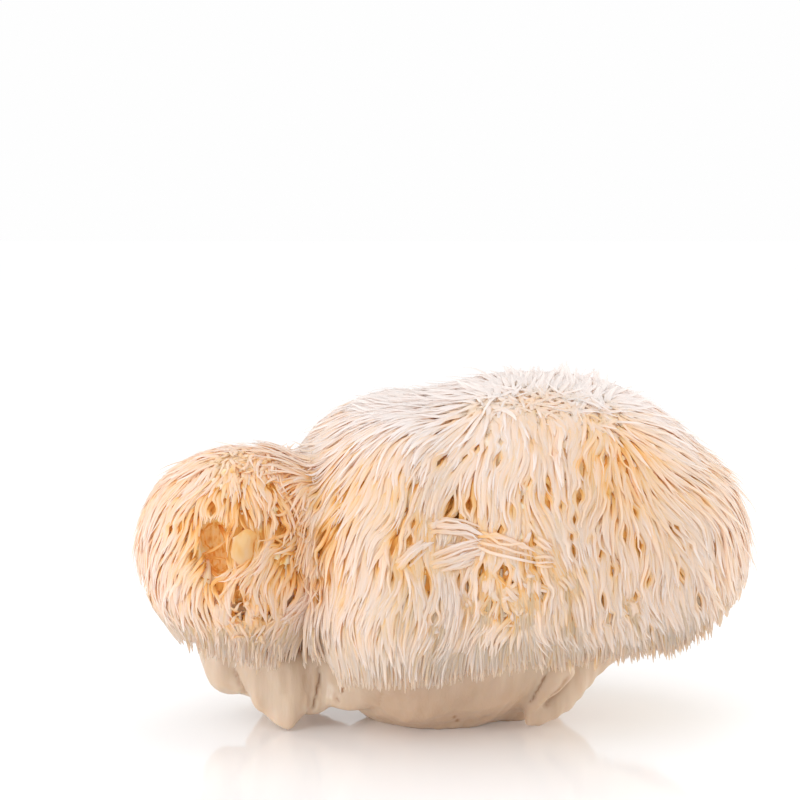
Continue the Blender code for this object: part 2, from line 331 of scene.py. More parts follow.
# ---- Spines as meshes
STEADINESS = 0.15  # how much of its turn a ring has from the last one
FIBRES_ACROSS, FIBRES_ALONG = 2000.0, 160.0  # streaks a metre
FIBRE_STEP, FIBRE_CYCLE = 7.3, 97  # from a spine to the next, so that their streaks differ
TIP_LENGTH = 2.5  # of the radius of the last ring


def corner_angles(sides):
    """Round a spine: a quarter turn is inwards, and the last corner is straight out."""
    return -math.pi / 2 + (np.arange(sides) + 1) * 2 * math.pi / sides


def tube_rings(centres, radii, flatness, sides):
    """Rings of corners round each route's places."""
    ways = unit(np.gradient(centres, axis=1))
    outs = outward(centres)
    side = unit(np.cross(ways[:, -1], outs[:, -1]))
    rings = []
    for j in range(centres.shape[1]):
        way = ways[:, j]
        level = np.cross(way, outs[:, j])
        side = side - way * dot(side, way)
        side = unit(unit(side) * STEADINESS + level * np.where(dot(level, side) < 0, -1, 1))
        lift = unit(np.cross(way, side))
        lift = lift * np.where(dot(lift, outs[:, j]) > 0, -1, 1)
        wide = side * (radii[:, j, None] * flatness[:, None])
        thin = lift * (radii[:, j, None] / flatness[:, None])
        angles = corner_angles(sides)
        ring = [centres[:, j] + wide * math.cos(a) + thin * math.sin(a) for a in angles]
        rings.append(np.stack(ring, axis=1))
    return np.stack(rings, axis=1)


def fibre_places(centres, radii, flatness, sides):
    """Where each corner is among the fibres that its spine is grown from: across, along, which."""
    steps = np.linalg.norm(np.diff(centres, axis=1), axis=2)
    along = np.pad(np.cumsum(steps, axis=1), ((0, 0), (1, 0))) * FIBRES_ALONG
    wide = radii.max(axis=1) * flatness * FIBRES_ACROSS
    across = np.cos(corner_angles(sides)) * wide[:, None]
    which = np.arange(len(centres)) * FIBRE_STEP % FIBRE_CYCLE
    on_rings = np.broadcast_arrays(across[:, None], along[..., None], which[:, None, None])
    on_tips = np.stack((np.zeros(len(centres)), along[:, -1], which), axis=-1)
    return np.concatenate((np.stack(on_rings, axis=-1).reshape(-1, 3), on_tips))


def make_mesh(name, places, quads, triangles):
    mesh = bpy.data.meshes.new(name)
    corners = np.concatenate((quads.ravel(), triangles.ravel())).astype(np.int32)
    starts = np.concatenate(
        (np.arange(len(quads)) * 4, len(quads) * 4 + np.arange(len(triangles)) * 3)
    ).astype(np.int32)
    mesh.vertices.add(len(places))
    mesh.vertices.foreach_set("co", places.astype(np.float32).ravel())
    mesh.loops.add(len(corners))
    mesh.loops.foreach_set("vertex_index", corners)
    mesh.polygons.add(len(starts))
    mesh.polygons.foreach_set("loop_start", starts)
    mesh.update(calc_edges=True)
    mesh.validate()
    mesh.shade_smooth()
    return mesh


def vectors_of(mesh, key):
    """The places or the normals of a mesh's corners."""
    values = np.empty(len(mesh.vertices) * 3, np.float32)
    mesh.vertices.foreach_get(key, values)
    return values.reshape(-1, 3).astype(float)


def add_values(mesh, name, values):
    layer = mesh.attributes.new(name, "FLOAT", "POINT")
    layer.data.foreach_set("value", values.astype(np.float32).ravel())


def add_vectors(mesh, name, vectors):
    layer = mesh.attributes.new(name, "FLOAT_VECTOR", "POINT")
    layer.data.foreach_set("vector", vectors.astype(np.float32).ravel())


CELL_LEFT, CELL_WIDTH = 0.15, 0.6  # where a spine's rings are in its cell of the map
CELL_FOOT, CELL_HEIGHT, CELL_TIP = 0.1, 0.8, 0.9


def bake_cells(mesh, spines, rings, sides):
    """A cell of the map for each spine, root at its foot and tip at its head."""
    across = math.ceil(math.sqrt(spines))
    cell = 1 / across
    index = np.arange(spines)
    left = (index % across) * cell
    foot = (index // across) * cell
    u = left[:, None, None] + cell * (CELL_LEFT + CELL_WIDTH * (np.arange(sides) / sides))
    v = foot[:, None] + cell * (CELL_FOOT + CELL_HEIGHT * (np.arange(rings) / rings))
    ring_map = np.stack(np.broadcast_arrays(u, v[:, :, None]), axis=-1).reshape(-1, 2)
    tip_map = np.stack((left + cell * 0.5, foot + cell * CELL_TIP), axis=-1)
    points = np.concatenate((ring_map, tip_map))
    corners = np.empty(len(mesh.loops), np.int32)
    mesh.loops.foreach_get("vertex_index", corners)
    layer = mesh.uv_layers.new(name="OFBake")
    layer.data.foreach_set("uv", points[corners].astype(np.float32).ravel())


def sharpen(mesh, on_rings, sides):
    """Makes every edge along a spine sharp but its crest."""
    ends = np.empty(len(mesh.edges) * 2, np.int32)
    mesh.edges.foreach_get("vertices", ends)
    ends = ends.reshape(-1, 2)
    corner = ends % sides
    along = (corner[:, 0] == corner[:, 1]) & (abs(ends[:, 0] - ends[:, 1]) == sides)
    sharp = along & (ends < on_rings).all(axis=1) & (corner[:, 0] != sides - 1)
    layer = mesh.attributes.new("sharp_edge", "BOOLEAN", "EDGE")
    layer.data.foreach_set("value", sharp)


def spine_mesh(name, centres, radii, flatness, values, edge, sides):
    """Closed, tapered tubes along the routes; values are one number a spine, or one a ring.

    A spine's flanks are painted more orange than its crest, by its edge, and most on the side that it
    lies on: a painted shade between the spines.
    """
    rings = tube_rings(centres, radii, flatness, sides)
    spines, count = rings.shape[:2]
    corners = spines * count * sides
    onwards = unit(centres[:, -1] - centres[:, -2])
    tips = centres[:, -1] + onwards * radii[:, -1:] * TIP_LENGTH
    places = np.concatenate((rings.reshape(-1, 3), tips))
    grid = np.arange(corners).reshape(spines, count, sides)
    ways = unit(np.gradient(centres, axis=1))
    turn = np.cross(rings[:, :, 0] - centres, rings[:, :, 1] - centres)
    inside_out = (dot(turn, ways)[..., 0] < 0).any(axis=1)
    grid = np.where(inside_out[:, None, None], grid[:, :, ::-1], grid)
    ahead = np.roll(grid, -1, axis=2)
    quads = np.stack((grid[:, :-1], ahead[:, :-1], ahead[:, 1:], grid[:, 1:]), axis=-1)
    foot = grid[:, 0]
    fan = [foot[:, (0, i + 1, i)] for i in range(1, sides - 1)]
    tip = np.broadcast_to((corners + np.arange(spines))[:, None], (spines, sides))
    point = np.stack((grid[:, -1], ahead[:, -1], tip), axis=-1).reshape(-1, 3)
    mesh = make_mesh(name, places, quads.reshape(-1, 4), np.concatenate((*fan, point)))
    sharpen(mesh, corners, sides)
    for key, value in values.items():
        value = value.reshape(spines, -1, 1)
        on_rings = np.broadcast_to(value, (spines, count, sides))
        if key == "pale":
            # flanks painted more orange: painted shade between the spines
            on_rings = on_rings - edge[:, None, None] * (1 + np.sin(corner_angles(sides)))
        add_values(mesh, key, np.concatenate((on_rings.ravel(), value[:, -1, 0])))
    add_vectors(mesh, "fibre", fibre_places(centres, radii, flatness, sides))
    bake_cells(mesh, spines, count, sides)
    return mesh


def place(mesh, name):
    piece = bpy.data.objects.new(name, mesh)
    bpy.context.scene.collection.objects.link(piece)
    return piece


# ---- Materials
def srgb(r, g, b):
    def linear(value):
        value /= 255
        return value / 12.92 if value <= 0.04045 else ((value + 0.055) / 1.055) ** 2.4

    return (linear(r), linear(g), linear(b), 1.0)


RIPENING = (  # from deep between the spines, where the orange is partly painted shade, out to the palest tips
    (0.00, srgb(226, 150, 62)),
    (0.10, srgb(247, 194, 104)),
    (0.25, srgb(248, 212, 146)),
    (0.42, srgb(248, 224, 182)),
    (0.62, srgb(248, 231, 209)),
    (0.82, srgb(246, 234, 221)),
    (1.00, srgb(248, 243, 240)),
)
BARE_FLESH = ((0.3, srgb(197, 170, 142)), (0.7, srgb(213, 188, 162)))
# browner flesh for the base's stains, and for the shade painted on it
STAINED_AND_SHADED_FLESH = ((0.6, srgb(176, 138, 106)), (0.9, srgb(146, 96, 54)))
STREAKS = 0.80  # how much paler and riper the fibres in a spine are than it
GROOVE_DEPTH, GROOVE_STRENGTH = 0.00012, 0.4
WRINKLE_DEPTH, WRINKLE_STRENGTH = 0.0006, 0.5
TIP_GAIN, ROOT_GAIN = 1.02, 1.03  # for what smooth-shaded narrow faces lose of their light
WAXINESS = 0.5


def set_inputs(tree, node, inputs):
    """Links the inputs that are given a socket, and sets the others."""
    for key, value in inputs.items():
        if isinstance(value, bpy.types.NodeSocket):
            tree.links.new(value, node.inputs[key])
        else:
            node.inputs[key].default_value = value


def add_node(tree, kind, inputs, **settings):
    node = tree.nodes.new("ShaderNode" + kind)
    for key, value in settings.items():
        setattr(node, key, value)
    set_inputs(tree, node, inputs)
    return node


def attribute(tree, name, output="Fac"):
    return add_node(tree, "Attribute", {}, attribute_name=name).outputs[output]


def calculated(tree, operation, *values):
    return add_node(tree, "Math", dict(enumerate(values)), operation=operation).outputs[0]


def noise(tree, places, scale, detail):
    inputs = {"Vector": places, "Scale": scale, "Detail": detail}
    return add_node(tree, "TexNoise", inputs).outputs["Fac"]


def bump(tree, height, strength, depth):
    inputs = {"Height": height, "Strength": strength, "Distance": depth}
    return add_node(tree, "Bump", inputs).outputs["Normal"]


def ramp(tree, share, stops):
    node = add_node(tree, "ValToRGB", {"Fac": share})
    elements = node.color_ramp.elements
    elements[0].position, elements[0].color = stops[0]
    elements[1].position, elements[1].color = stops[-1]
    for position, colour in stops[1:-1]:
        elements.new(position).color = colour
    return node.outputs["Color"]


def new_material(name):
    material = bpy.data.materials.new(name)
    material.use_nodes = True
    return material, material.node_tree, material.node_tree.nodes["Principled BSDF"]


def coat_material(name, waxiness):
    """Colour from how pale each place is painted, for the flesh's own colour and for painted shade
    and highlight, with light that goes through it by its waxiness.
    """
    material, tree, shader = new_material(name)
    pale = attribute(tree, "pale")
    grain = noise(tree, attribute(tree, "fibre", "Vector"), 1.0, 2)
    streaks = calculated(tree, "MULTIPLY_ADD", grain, STREAKS, -STREAKS / 2)
    share = calculated(tree, "SUBTRACT", pale, attribute(tree, "warm"))
    colour = ramp(tree, calculated(tree, "ADD", share, streaks), RIPENING)
    gains = {"Value": pale, "To Min": ROOT_GAIN, "To Max": TIP_GAIN}
    gain = add_node(tree, "MapRange", gains).outputs["Result"]
    value = calculated(tree, "MULTIPLY", attribute(tree, "tint"), gain)
    shaded = add_node(tree, "HueSaturation", {"Color": colour, "Value": value}).outputs["Color"]
    normal = bump(tree, grain, GROOVE_STRENGTH, GROOVE_DEPTH)
    look = {"Base Color": shaded, "Roughness": 0.42, "Specular IOR Level": 0.15, "Normal": normal}
    set_inputs(tree, shader, look)
    through = add_node(tree, "BsdfTranslucent", {"Color": shaded})
    mix = {"Fac": waxiness, 1: shader.outputs["BSDF"], 2: through.outputs["BSDF"]}
    waxy = add_node(tree, "MixShader", mix)
    set_inputs(tree, tree.nodes["Material Output"], {"Surface": waxy.outputs["Shader"]})
    return material


def base_material():
    material, tree, shader = new_material("base")
    fibre = attribute(tree, "fibre", "Vector")
    # browner where the flesh is stained, and where shade is painted on it
    ripe_and_shading = attribute(tree, "ripe_and_shading")
    bare = ramp(tree, noise(tree, fibre, 0.5, 2), BARE_FLESH)
    mix = {"Factor": ripe_and_shading, "A": bare, "B": ramp(tree, ripe_and_shading, STAINED_AND_SHADED_FLESH)}
    look = {
        "Base Color": add_node(tree, "Mix", mix, data_type="RGBA").outputs["Result"],
        "Roughness": 0.38,
        "Subsurface Weight": 0.5,
        "Subsurface Radius": (1.0, 0.6, 0.35),
        "Subsurface Scale": 0.004,
        "Normal": bump(tree, noise(tree, fibre, 1.0, 3), WRINKLE_STRENGTH, WRINKLE_DEPTH),
    }
    set_inputs(tree, shader, look)
    return material


# ---- The coat
LONGEST, FRINGE_LONGEST = 0.0215, 0.036
VALLEY, VALLEY_WIDTH = -0.033, 0.006  # where along the mushroom the side lobe meets the big one
SHARES = np.array((0.10, 0.26, 0.40, 0.53, 0.64, 0.74, 0.83, 0.92, 1.0))
FEWER_SHARES = np.array((0.10, 0.34, 0.52, 0.67, 0.80, 0.91, 1.0))  # for the back
SPINE_SPACING, WHORL_SPACING, FRINGE_SPACING, UNDER_SPACING = 0.00119, 0.00140, 0.00135, 0.0022
LOCK_SPACING, HEAD_SPACING = 0.0034, 0.0068  # spines draw together in locks, those in bigger ones
FRINGE_RADII, UNDER_RADII = (0.00046, 0.00070), (0.0005, 0.0007)
WIDE_RADII, NARROW_RADII, WIDE_ONES = (0.40, 0.60), (0.25, 0.41), 0.28  # in millimetres
STRAYS, MORE_STRAYS, STRAY_LIFTS = 0.10, 0.16, (0.0004, 0.0028)
SHORTEST_KEPT = 0.22  # a spine that ends before this share of its length is left out
LOWER_LOCKS = 0.005  # how far above the fringe the side lobe's locks may end
VARIETY, TINT_VARIETY = 0.05, 0.015
GAP_SPACING, GAP_LENGTHS, GAP_WIDTHS = 0.0066, (0.0020, 0.0042), (0.0, 0.0003)


def in_valley(points):
    """How far points are in the fold between the lobes, on the side seen, which spines fill."""
    return np.exp(-(((points[:, 0] - VALLEY) / VALLEY_WIDTH) ** 2)) * (points[:, 1] < 0)


def taper(shares):
    """How thick a spine is along its length, 1 at most."""
    return 1.0 - 0.86 * shares**2.3


def stopped_at(routes, low):
    """Each route's share of its length at which it comes down to a height."""
    under = routes[:, :, 2] < low[:, None]
    first = np.where(under.any(axis=1), under.argmax(axis=1), routes.shape[1] - 1)
    return first / (routes.shape[1] - 1)


# Gaps in the coat that show the orange under it, the flesh's own colour with painted shade and glow:
# a pixel of the picture, a radius and a depth
CLEARINGS = (
    ((214, 536), 0.0034, 0.0045),
    ((219, 562), 0.0030, 0.0045),
    ((238, 606), 0.0011, 0.0020),
)
CLEARING_HEIGHT = 0.006
CLEARED_BEHIND, SUNK_BEHIND = 0.010, 0.012  # how far behind it spines are cut and flesh sinks
CLEARED_DOWN = 0.0050  # the height over the flesh from which spines are cut


def from_sight_line(points, pixel):
    """How far points are beside the line of sight to a pixel, how far along it, and its way."""
    spot = on_coat(pixel, CLEARING_HEIGHT)
    ray = unit(spot - EYE)
    offset = points - spot
    along = dot(offset, ray)
    return np.linalg.norm(offset - ray * along, axis=-1, keepdims=True), along, ray


def stopped_at_clearings(routes, depth):
    """Each route's share of its length at which it would cross a gap above a depth of the coat."""
    share = np.ones(len(routes))
    heights = distance(routes)
    last = routes.shape[1] - 1
    for pixel, radius, _ in CLEARINGS:
        beside, along, _ = from_sight_line(routes, pixel)
        inside = ((beside < radius) & (along < CLEARED_BEHIND))[..., 0] & (heights > depth)
        first = np.where(inside.any(axis=1), inside.argmax(axis=1) - 1, last)
        share = np.minimum(share, first / last)
    return share


# Lens-shaped openings between the spines, each a pixel of the picture, the way it points in it, half
# its length and half its width in pixels, and how strongly the flesh in it and the spines beside it
# are painted orange and bright, partly the flesh's own colour and partly painted shade and glow
OPENINGS = (
    (505, 571, 0.3, 1, 7, 3.2, 1), (542, 591, 0.2, 1, 7, 3, 1), (504, 616, 0.5, 1, 8, 3.6, 1),
    (490, 606, 0.2, 1, 6, 2.6, 1), (608, 616, 1, 0.3, 5, 2.2, 0.9), (456, 521, 0.1, 1, 8, 5, 1.2),
    (469, 505, 0.1, 1, 9, 2.5, 1), (449, 508, -0.6, 0.8, 16, 2.2, 0.9),
    (472, 541, 1, 0.1, 8, 4, 1.05), (501, 530, 0.2, 1, 6, 2.5, 0.95),
    (513, 512, 0.5, 0.85, 10, 2, 0.9), (532, 541, 0.8, 0.6, 9, 2.2, 0.7),
    (547, 502, 0.1, 1, 10, 2, 0.8), (562, 507, 0.1, 1, 6, 2, 0.8), (579, 497, 0.1, 1, 9, 2.5, 0.95),
    (574, 519, 0.5, 0.85, 6, 2.5, 0.95), (571, 536, 0.4, 0.9, 6, 2.4, 0.85),
    (573, 552, 0, 1, 10, 1.6, 0.6), (394, 545, -0.1, 1, 15, 2, 0.9),
    (410, 541, -0.3, 0.95, 8, 2.2, 0.8), (413, 524, 0.1, 1, 7, 2.2, 0.7),
    (408, 561, -0.7, 0.7, 12, 1.6, 0.8), (427, 583, 0, 1, 17, 2.2, 0.7),
    (433, 616, 0, 1, 7, 2, 0.95), (459, 580, 0, 1, 10, 1.5, 0.6), (468, 585, 0, 1, 9, 2, 0.6),
    (482, 571, 0.1, 1, 9, 2, 0.8), (503, 573, -0.1, 1, 10, 2.8, 1.1),
    (509, 570, 0.5, 0.8, 4, 2.4, 1.3), (514, 587, 0.8, 0.6, 13, 3.2, 0.75),
    (535, 563, 0.8, 0.6, 7, 3, 0.65), (542, 580, 1, 0, 5, 2, 0.95), (543, 593, 0.4, 0.9, 5, 3, 1.15),
    (488, 607, 0.6, 0.8, 7, 3.2, 1.05), (502, 612, 0.8, -0.6, 6, 2.8, 1.25),
    (508, 619, 0.2, 1, 5, 2.4, 1.25), (527, 612, 1, -0.3, 6, 2, 0.8),
    (567, 597, 0.2, 1, 9, 2.2, 0.75), (499, 461, -0.4, 0.9, 11, 2.5, 0.95),
    (466, 459, -0.2, 1, 7, 2, 0.9), (476, 451, -0.3, 1, 5, 2, 0.8),
    (438, 464, -0.6, 0.8, 11, 2.4, 0.7), (501, 444, 0.2, 1, 4, 2.2, 0.8),
    (527, 483, 0.1, 1, 5, 2.8, 0.95), (534, 449, 0.2, 1, 6, 1.6, 0.8),
    (554, 456, 0.5, 0.85, 5, 1.8, 0.8), (581, 469, 0.3, 0.95, 12, 2.4, 0.9),
    (622, 463, 0.45, 0.9, 14, 2.8, 0.85), (548, 484, 0, 1, 12, 1.6, 0.8),
    (594, 422, 0.9, 0.4, 10, 2.4, 0.6), (542, 410, 0.1, 1, 5, 1.6, 0.6),
    (530, 404, 1, 0.1, 8, 1.4, 0.6), (498, 430, 0.7, 0.7, 6, 1.6, 0.7),
    (449, 424, 1, -0.25, 10, 2, 0.5), (473, 417, 0.6, -0.8, 8, 2, 0.55),
    (602, 460, 0.1, 1, 9, 1.8, 0.75), (608, 491, 0.4, 0.9, 8, 2.2, 0.75),
    (638, 545, 0.35, 0.9, 10, 2.4, 1.05), (646, 580, 0.4, 0.9, 9, 3.2, 1.05),
    (634, 595, 0.3, 0.95, 6, 2, 0.95), (681, 573, 0.5, 0.85, 9, 2, 0.75),
    (697, 600, 0.1, 1, 12, 1.8, 0.65), (688, 548, 0.7, 0.7, 5, 2, 0.75),
    (707, 568, 0.7, 0.7, 12, 1.4, 0.5), (634, 511, 0.4, 0.9, 5, 2.2, 0.8),
    (624, 533, 0.6, 0.8, 10, 3, 0.45), (611, 570, 0.3, 0.95, 7, 2, 0.8),
    (600, 555, 0.4, 0.9, 6, 2, 0.8), (601, 598, 0.1, 1, 12, 2, 0.8),
    (606, 617, 0.6, 0.8, 6, 3.2, 0.9), (628, 613, 0.2, 1, 6, 3.2, 0.95),
    (647, 628, 0, 1, 8, 1.6, 0.6), (589, 539, 0.4, 0.9, 5, 2, 0.85),
    (674, 527, 0.5, 0.85, 6, 2, 0.55), (703, 504, 0.9, 0.35, 8, 1.4, 0.55),
    (212, 509, -0.2, 1, 10, 3, 0.8), (243, 549, -0.2, 1, 21, 7, 0.8), (239, 599, 0.9, 0.4, 9, 4, 1),
    (237, 615, 0.1, 1, 13, 3, 0.95), (218, 588, -0.6, 0.8, 9, 3.4, 0.9),
    (243, 483, 1, 0.2, 4, 2.4, 0.9), (271, 485, 1, 0.1, 8, 3.2, 0.9),
    (263, 535, 0.8, -0.5, 8, 2.4, 0.9), (259, 547, 0.5, 0.8, 5, 2, 0.9),
    (277, 542, 0.9, -0.3, 7, 2, 0.8), (283, 530, 0.3, 1, 7, 3.2, 0.85),
    (304, 533, 0.9, -0.3, 6, 2.6, 0.9), (328, 535, 0.1, 1, 16, 3.2, 0.95),
    (329, 580, 0.2, 1, 5, 2.4, 1.3), (317, 581, 0.7, 0.6, 7, 3, 1.05),
    (322, 597, 0.1, 1, 11, 2.4, 1), (297, 583, 0.6, -0.8, 8, 2.4, 1),
    (294, 599, 0.3, 0.9, 5, 2.6, 1), (262, 651, 1, 0.1, 8, 2.6, 0.75),
    (179, 527, -0.6, 0.8, 8, 2, 0.6), (178, 578, -0.6, 0.8, 8, 1.8, 0.6),
    (169, 529, -0.4, 0.9, 5, 2, 0.6),
)
OPENING_HEIGHT = 0.0078
PIXEL = PICTURE_WIDTH / PICTURE
SPINE_WIDTH = 0.0004  # half a spine's width, which closes an opening from either side
PUSHED, DARKENED = 3, 2  # how many half widths from a gap it still tells on spines and on flesh
Gaps = namedtuple("Gaps", "place along across length width depth")


def drawn_gaps():
    rows = np.array(OPENINGS)
    pixels, ways = rows[:, :2], rows[:, 2:4]
    lengths, widths, ripe_and_shading = rows[:, 4:].T
    heights = np.full(len(rows), OPENING_HEIGHT)
    places = on_coat(pixels, heights)
    along = unit(on_coat(pixels + ways * 3, heights) - places)
    across = unit(np.cross(outward(places), along))
    return Gaps(places, along, across, lengths * PIXEL, widths * PIXEL + SPINE_WIDTH, ripe_and_shading)


def scattered_gaps(drawn):
    """Openings all over, fewer and fainter on the top, at the ends and low down."""
    roots, lobes = roots_of(GAP_SPACING, 0.9, lowest=-0.35)
    count = len(roots)
    layers = np.full(count, 0.93)
    routes = comb(roots, lobes, np.full(count, LONGEST), layers, np.zeros(count), 1.0)
    places = routes[:, 8]
    along = unit(routes[:, 11] - routes[:, 5])
    across = unit(np.cross(outward(places), along))
    high = smooth(places[:, 2], 0.056, 0.076)
    strong = 1 - 0.75 * high - 0.35 * smooth(places[:, 0], 0.040, 0.065)
    strong *= 0.4 + 0.6 * smooth(places[:, 2], 0.022, 0.040)
    strong *= chance.uniform(0.45, 1.0, count)
    lengths = chance.uniform(*GAP_LENGTHS, count)
    widths = chance.uniform(*GAP_WIDTHS, count) * (0.5 + 0.5 * strong) + SPINE_WIDTH
    apart = np.linalg.norm(places[:, None] - drawn.place[None], axis=-1).min(axis=1)
    clear = (apart > 0.0050) & (places[:, 2] > fringe_height(places) + 0.009)
    return Gaps(*(values[clear] for values in (places, along, across, lengths, widths, strong)))


def round_gaps(points, widest):
    """How far round each gap the points are: their index, the gap's lens and how far across it."""
    tree = tree_of(points)
    for place_at, along, across, length, width, depth in zip(*GAPS):
        found = tree.find_range(place_at, max(length, widest * width))
        found = np.array([index for _, index, _ in found], int)
        if len(found):
            offset = points[found] - place_at
            lens = np.clip(1 - (offset @ along / length) ** 2, 0, 1)
            yield found, lens, offset @ across / width, across * width, depth


def part_spines(centres):
    """Bends spines aside round each gap, and says how near each place on them is to one."""
    points = centres.reshape(-1, 3).copy()
    spine = np.repeat(np.arange(len(centres)), centres.shape[1])
    near = np.zeros(len(points))
    for found, lens, aside, across, depth in round_gaps(points, PUSHED):
        _, owner = np.unique(spine[found], return_inverse=True)
        side = np.where(np.bincount(owner, weights=aside * lens) < 0, -1.0, 1.0)[owner]
        push = lens * np.clip(1 - np.abs(aside) / PUSHED, 0, 1) * side
        points[found] += across * push[:, None]
        beside = depth * lens * (1 - smooth(np.abs(aside + push), 0.9, 2.2))
        near[found] = np.maximum(near[found], beside)
    return points.reshape(centres.shape), near.reshape(centres.shape[:2])


def in_gaps(points):
    """How deep in a gap each place of the flesh under the spines is."""
    deep = np.zeros(len(points))
    for found, lens, aside, _, depth in round_gaps(points, DARKENED):
        deep[found] = np.maximum(deep[found], depth * lens * (1 - smooth(np.abs(aside), 0.7, 1.6)))
    return deep


def fineness(points, lobes):
    """Spines are finer over the top and on the side lobe."""
    high = smooth(points[:, 2], 0.066, 0.086)
    return np.where(lobes == SIDE, 0.85, 1.0 - 0.04 * high)


def lifted(routes, heights, start):
    """The routes with their tips lifted off the coat, from a share of their length on."""
    share = smooth(np.linspace(0, 1, routes.shape[1]), start, 1)[None, :, None]
    return routes + outward(routes) * heights[:, None, None] * share


def mantle():
    """The upper tier: spines all over the lobes, gathered in locks, down to near the fringe."""
    roots, lobes = roots_of(SPINE_SPACING, 0.35, lowest=-0.80)
    skirt = (lobes != SIDE) & (outward(roots)[:, 2] < -0.30)
    roots, lobes = roots[~skirt], lobes[~skirt]
    extra, extra_lobes = roots_of(WHORL_SPACING, 0.5, lowest=0.2)
    near = np.linalg.norm(from_whorl(extra, extra_lobes), axis=-1)
    near = near < np.where(extra_lobes == SIDE, 0.013, 0.015)
    roots = np.concatenate((roots, extra[near]))
    lobes = np.concatenate((lobes, extra_lobes[near]))
    heads, head_lobes = roots_of(HEAD_SPACING, 0.5, lowest=-0.8)
    locks, lock_lobes = roots_of(LOCK_SPACING, 0.5, lowest=-0.8)
    count, head_count, lock_count = len(roots), len(heads), len(locks)
    head_lengths = chance.uniform(0.8, 1.1, head_count) * np.where(head_lobes == SIDE, 0.80, 1.0)
    head_lengths *= LONGEST

    def lengths_for(points):
        return head_lengths[nearest(points, heads)]

    layers = chance.uniform(0.85, 1.05, head_count)
    guides = comb(heads, head_lobes, head_lengths, layers, np.zeros(head_count), 1.3)
    layers = chance.uniform(0.92, 1.00, lock_count)
    lock_routes = comb(locks, lock_lobes, lengths_for(locks), layers, np.zeros(lock_count), 1.1)
    pulls = chance.uniform(0.1, 0.7, lock_count)
    lock_routes, _ = clump(lock_routes, locks, guides, heads, pulls, 0.6)
    lock_routes = lifted(lock_routes, chance.uniform(0, 0.0010, lock_count), 0.5)
    ends = smooth(roots[:, 0], 0.040, 0.062) + smooth(-roots[:, 0], 0.055, 0.072)
    fluffy = np.clip(ends + smooth(roots[:, 2], 0.070, 0.084), 0, 1)
    strays = chance.random(count) < STRAYS + MORE_STRAYS * fluffy
    stray = np.where(strays, chance.uniform(0.4, 1.0, count), 0.0)
    calm = smooth(roots[:, 2], 0.060, 0.078) + 0.7 * smooth(roots[:, 0], 0.036, 0.060)
    calm = np.clip(calm + 0.7 * (lobes == SIDE) * smooth(-roots[:, 0], 0.052, 0.066), 0, 1)
    layers = 0.97 + chance.uniform(-0.06, 0.04, count) * (1 - 0.7 * calm)
    layers += 0.12 * in_valley(roots) * smooth(-roots[:, 2], -0.045, -0.030)
    routes = comb(roots, lobes, lengths_for(roots), layers, stray, 1.0)
    strength = chance.uniform(0.3, 0.9, count) * (stray == 0) * (1 - 0.7 * calm)
    routes, mine = clump(routes, roots, lock_routes, locks, strength, 0.65)
    lift = stray * chance.uniform(*STRAY_LIFTS, count) * (1 + 0.5 * fluffy)
    routes = lifted(routes, lift, 0.35)
    rise = chance.uniform(0, 1, lock_count)[mine]
    recess = 0.007 - 0.004 * smooth(roots[:, 0], 0.045, 0.060)
    recess = np.where(lobes == SIDE, LOWER_LOCKS, recess) * rise
    low = fringe_height(routes[:, HANGING]) + 0.001 + recess
    low += chance.normal(size=count) * 0.0015
    share = chance.uniform(0.62, 1.0, count)
    share = np.minimum(share, stopped_at(routes, low))
    share = np.minimum(share, stopped_at_clearings(routes, CLEARED_DOWN))
    keep = share > SHORTEST_KEPT
    return routes[keep], roots[keep], lobes[keep], share[keep]


def fringe():
    """The lower tier: straight spines, close together, down to the level edge over the base."""
    roots, lobes = roots_of(FRINGE_SPACING, 0.35, lowest=-0.62)
    band = outward(roots)[:, 2] < np.where(lobes == SIDE, -0.25, 0.12)
    roots, lobes = roots[band], lobes[band]
    count = len(roots)
    layers = chance.uniform(0.72, 0.94, count) + 0.22 * in_valley(roots)
    routes = comb(roots, lobes, np.full(count, FRINGE_LONGEST), layers, np.zeros(count), 0.35)
    low = fringe_height(routes[:, HANGING]) + chance.normal(size=count) * FRINGE_JITTER
    share = stopped_at(routes, low)
    keep = (share > 0.15) & (share < 1)
    return routes[keep], share[keep]


def underside():
    """Short spines that hang from under each lobe, behind the fringe."""
    places = []
    for lobe in LOBES:
        ways = spread(lobe, UNDER_SPACING, 0.4)
        roots = on_lobe(lobe, ways[ways[:, 2] < -0.5], lobe.coat)
        roots[:, 2] = lobe.centre[2] + (roots[:, 2] - lobe.centre[2]) * UNDERSIDE
        places.append(roots[distance(roots) > -0.009])
    roots = np.concatenate(places)
    from_bowl = np.linalg.norm((roots - BOWL_CENTRE) / BOWL_RADII, axis=1)
    roots = roots[(from_bowl > 1.0) & (roots[:, 2] > fringe_height(roots) + 0.004)]
    low = fringe_height(roots) + 0.001 + chance.normal(size=len(roots)) * FRINGE_JITTER
    share = np.linspace(0, 1, STEPS + 1)[None, :, None]
    sway = mid_waves(roots) * 0.0007 + chance.normal(size=roots.shape) * 0.0004
    start = roots - DOWN * 0.002
    drop = (start[:, 2] - low)[:, None, None]
    return start[:, None] + DOWN * drop * share + sway[:, None] * np.sin(share * math.pi / 2)


ROOT_PALENESS, OUTER_PALENESS, TIP_PALENESS, TIER_PALENESS = 0.12, 0.40, 0.45, 0.45
OUTER = (0.82, 1.02)  # how deep in the coat the flesh turns pale, as a share of its depth; deeper in, the orange is painted shade


def ripeness_and_shade(centres, lobes, shares):
    """0 for the orange at the roots up to 1 for the pale tips: along the spine this is the flesh's
    own colour, and deep in the coat it is painted shade.
    """
    depth = distance(centres) / COATS[lobes][:, None]
    return ROOT_PALENESS + OUTER_PALENESS * smooth(depth, *OUTER) + TIP_PALENESS * shares


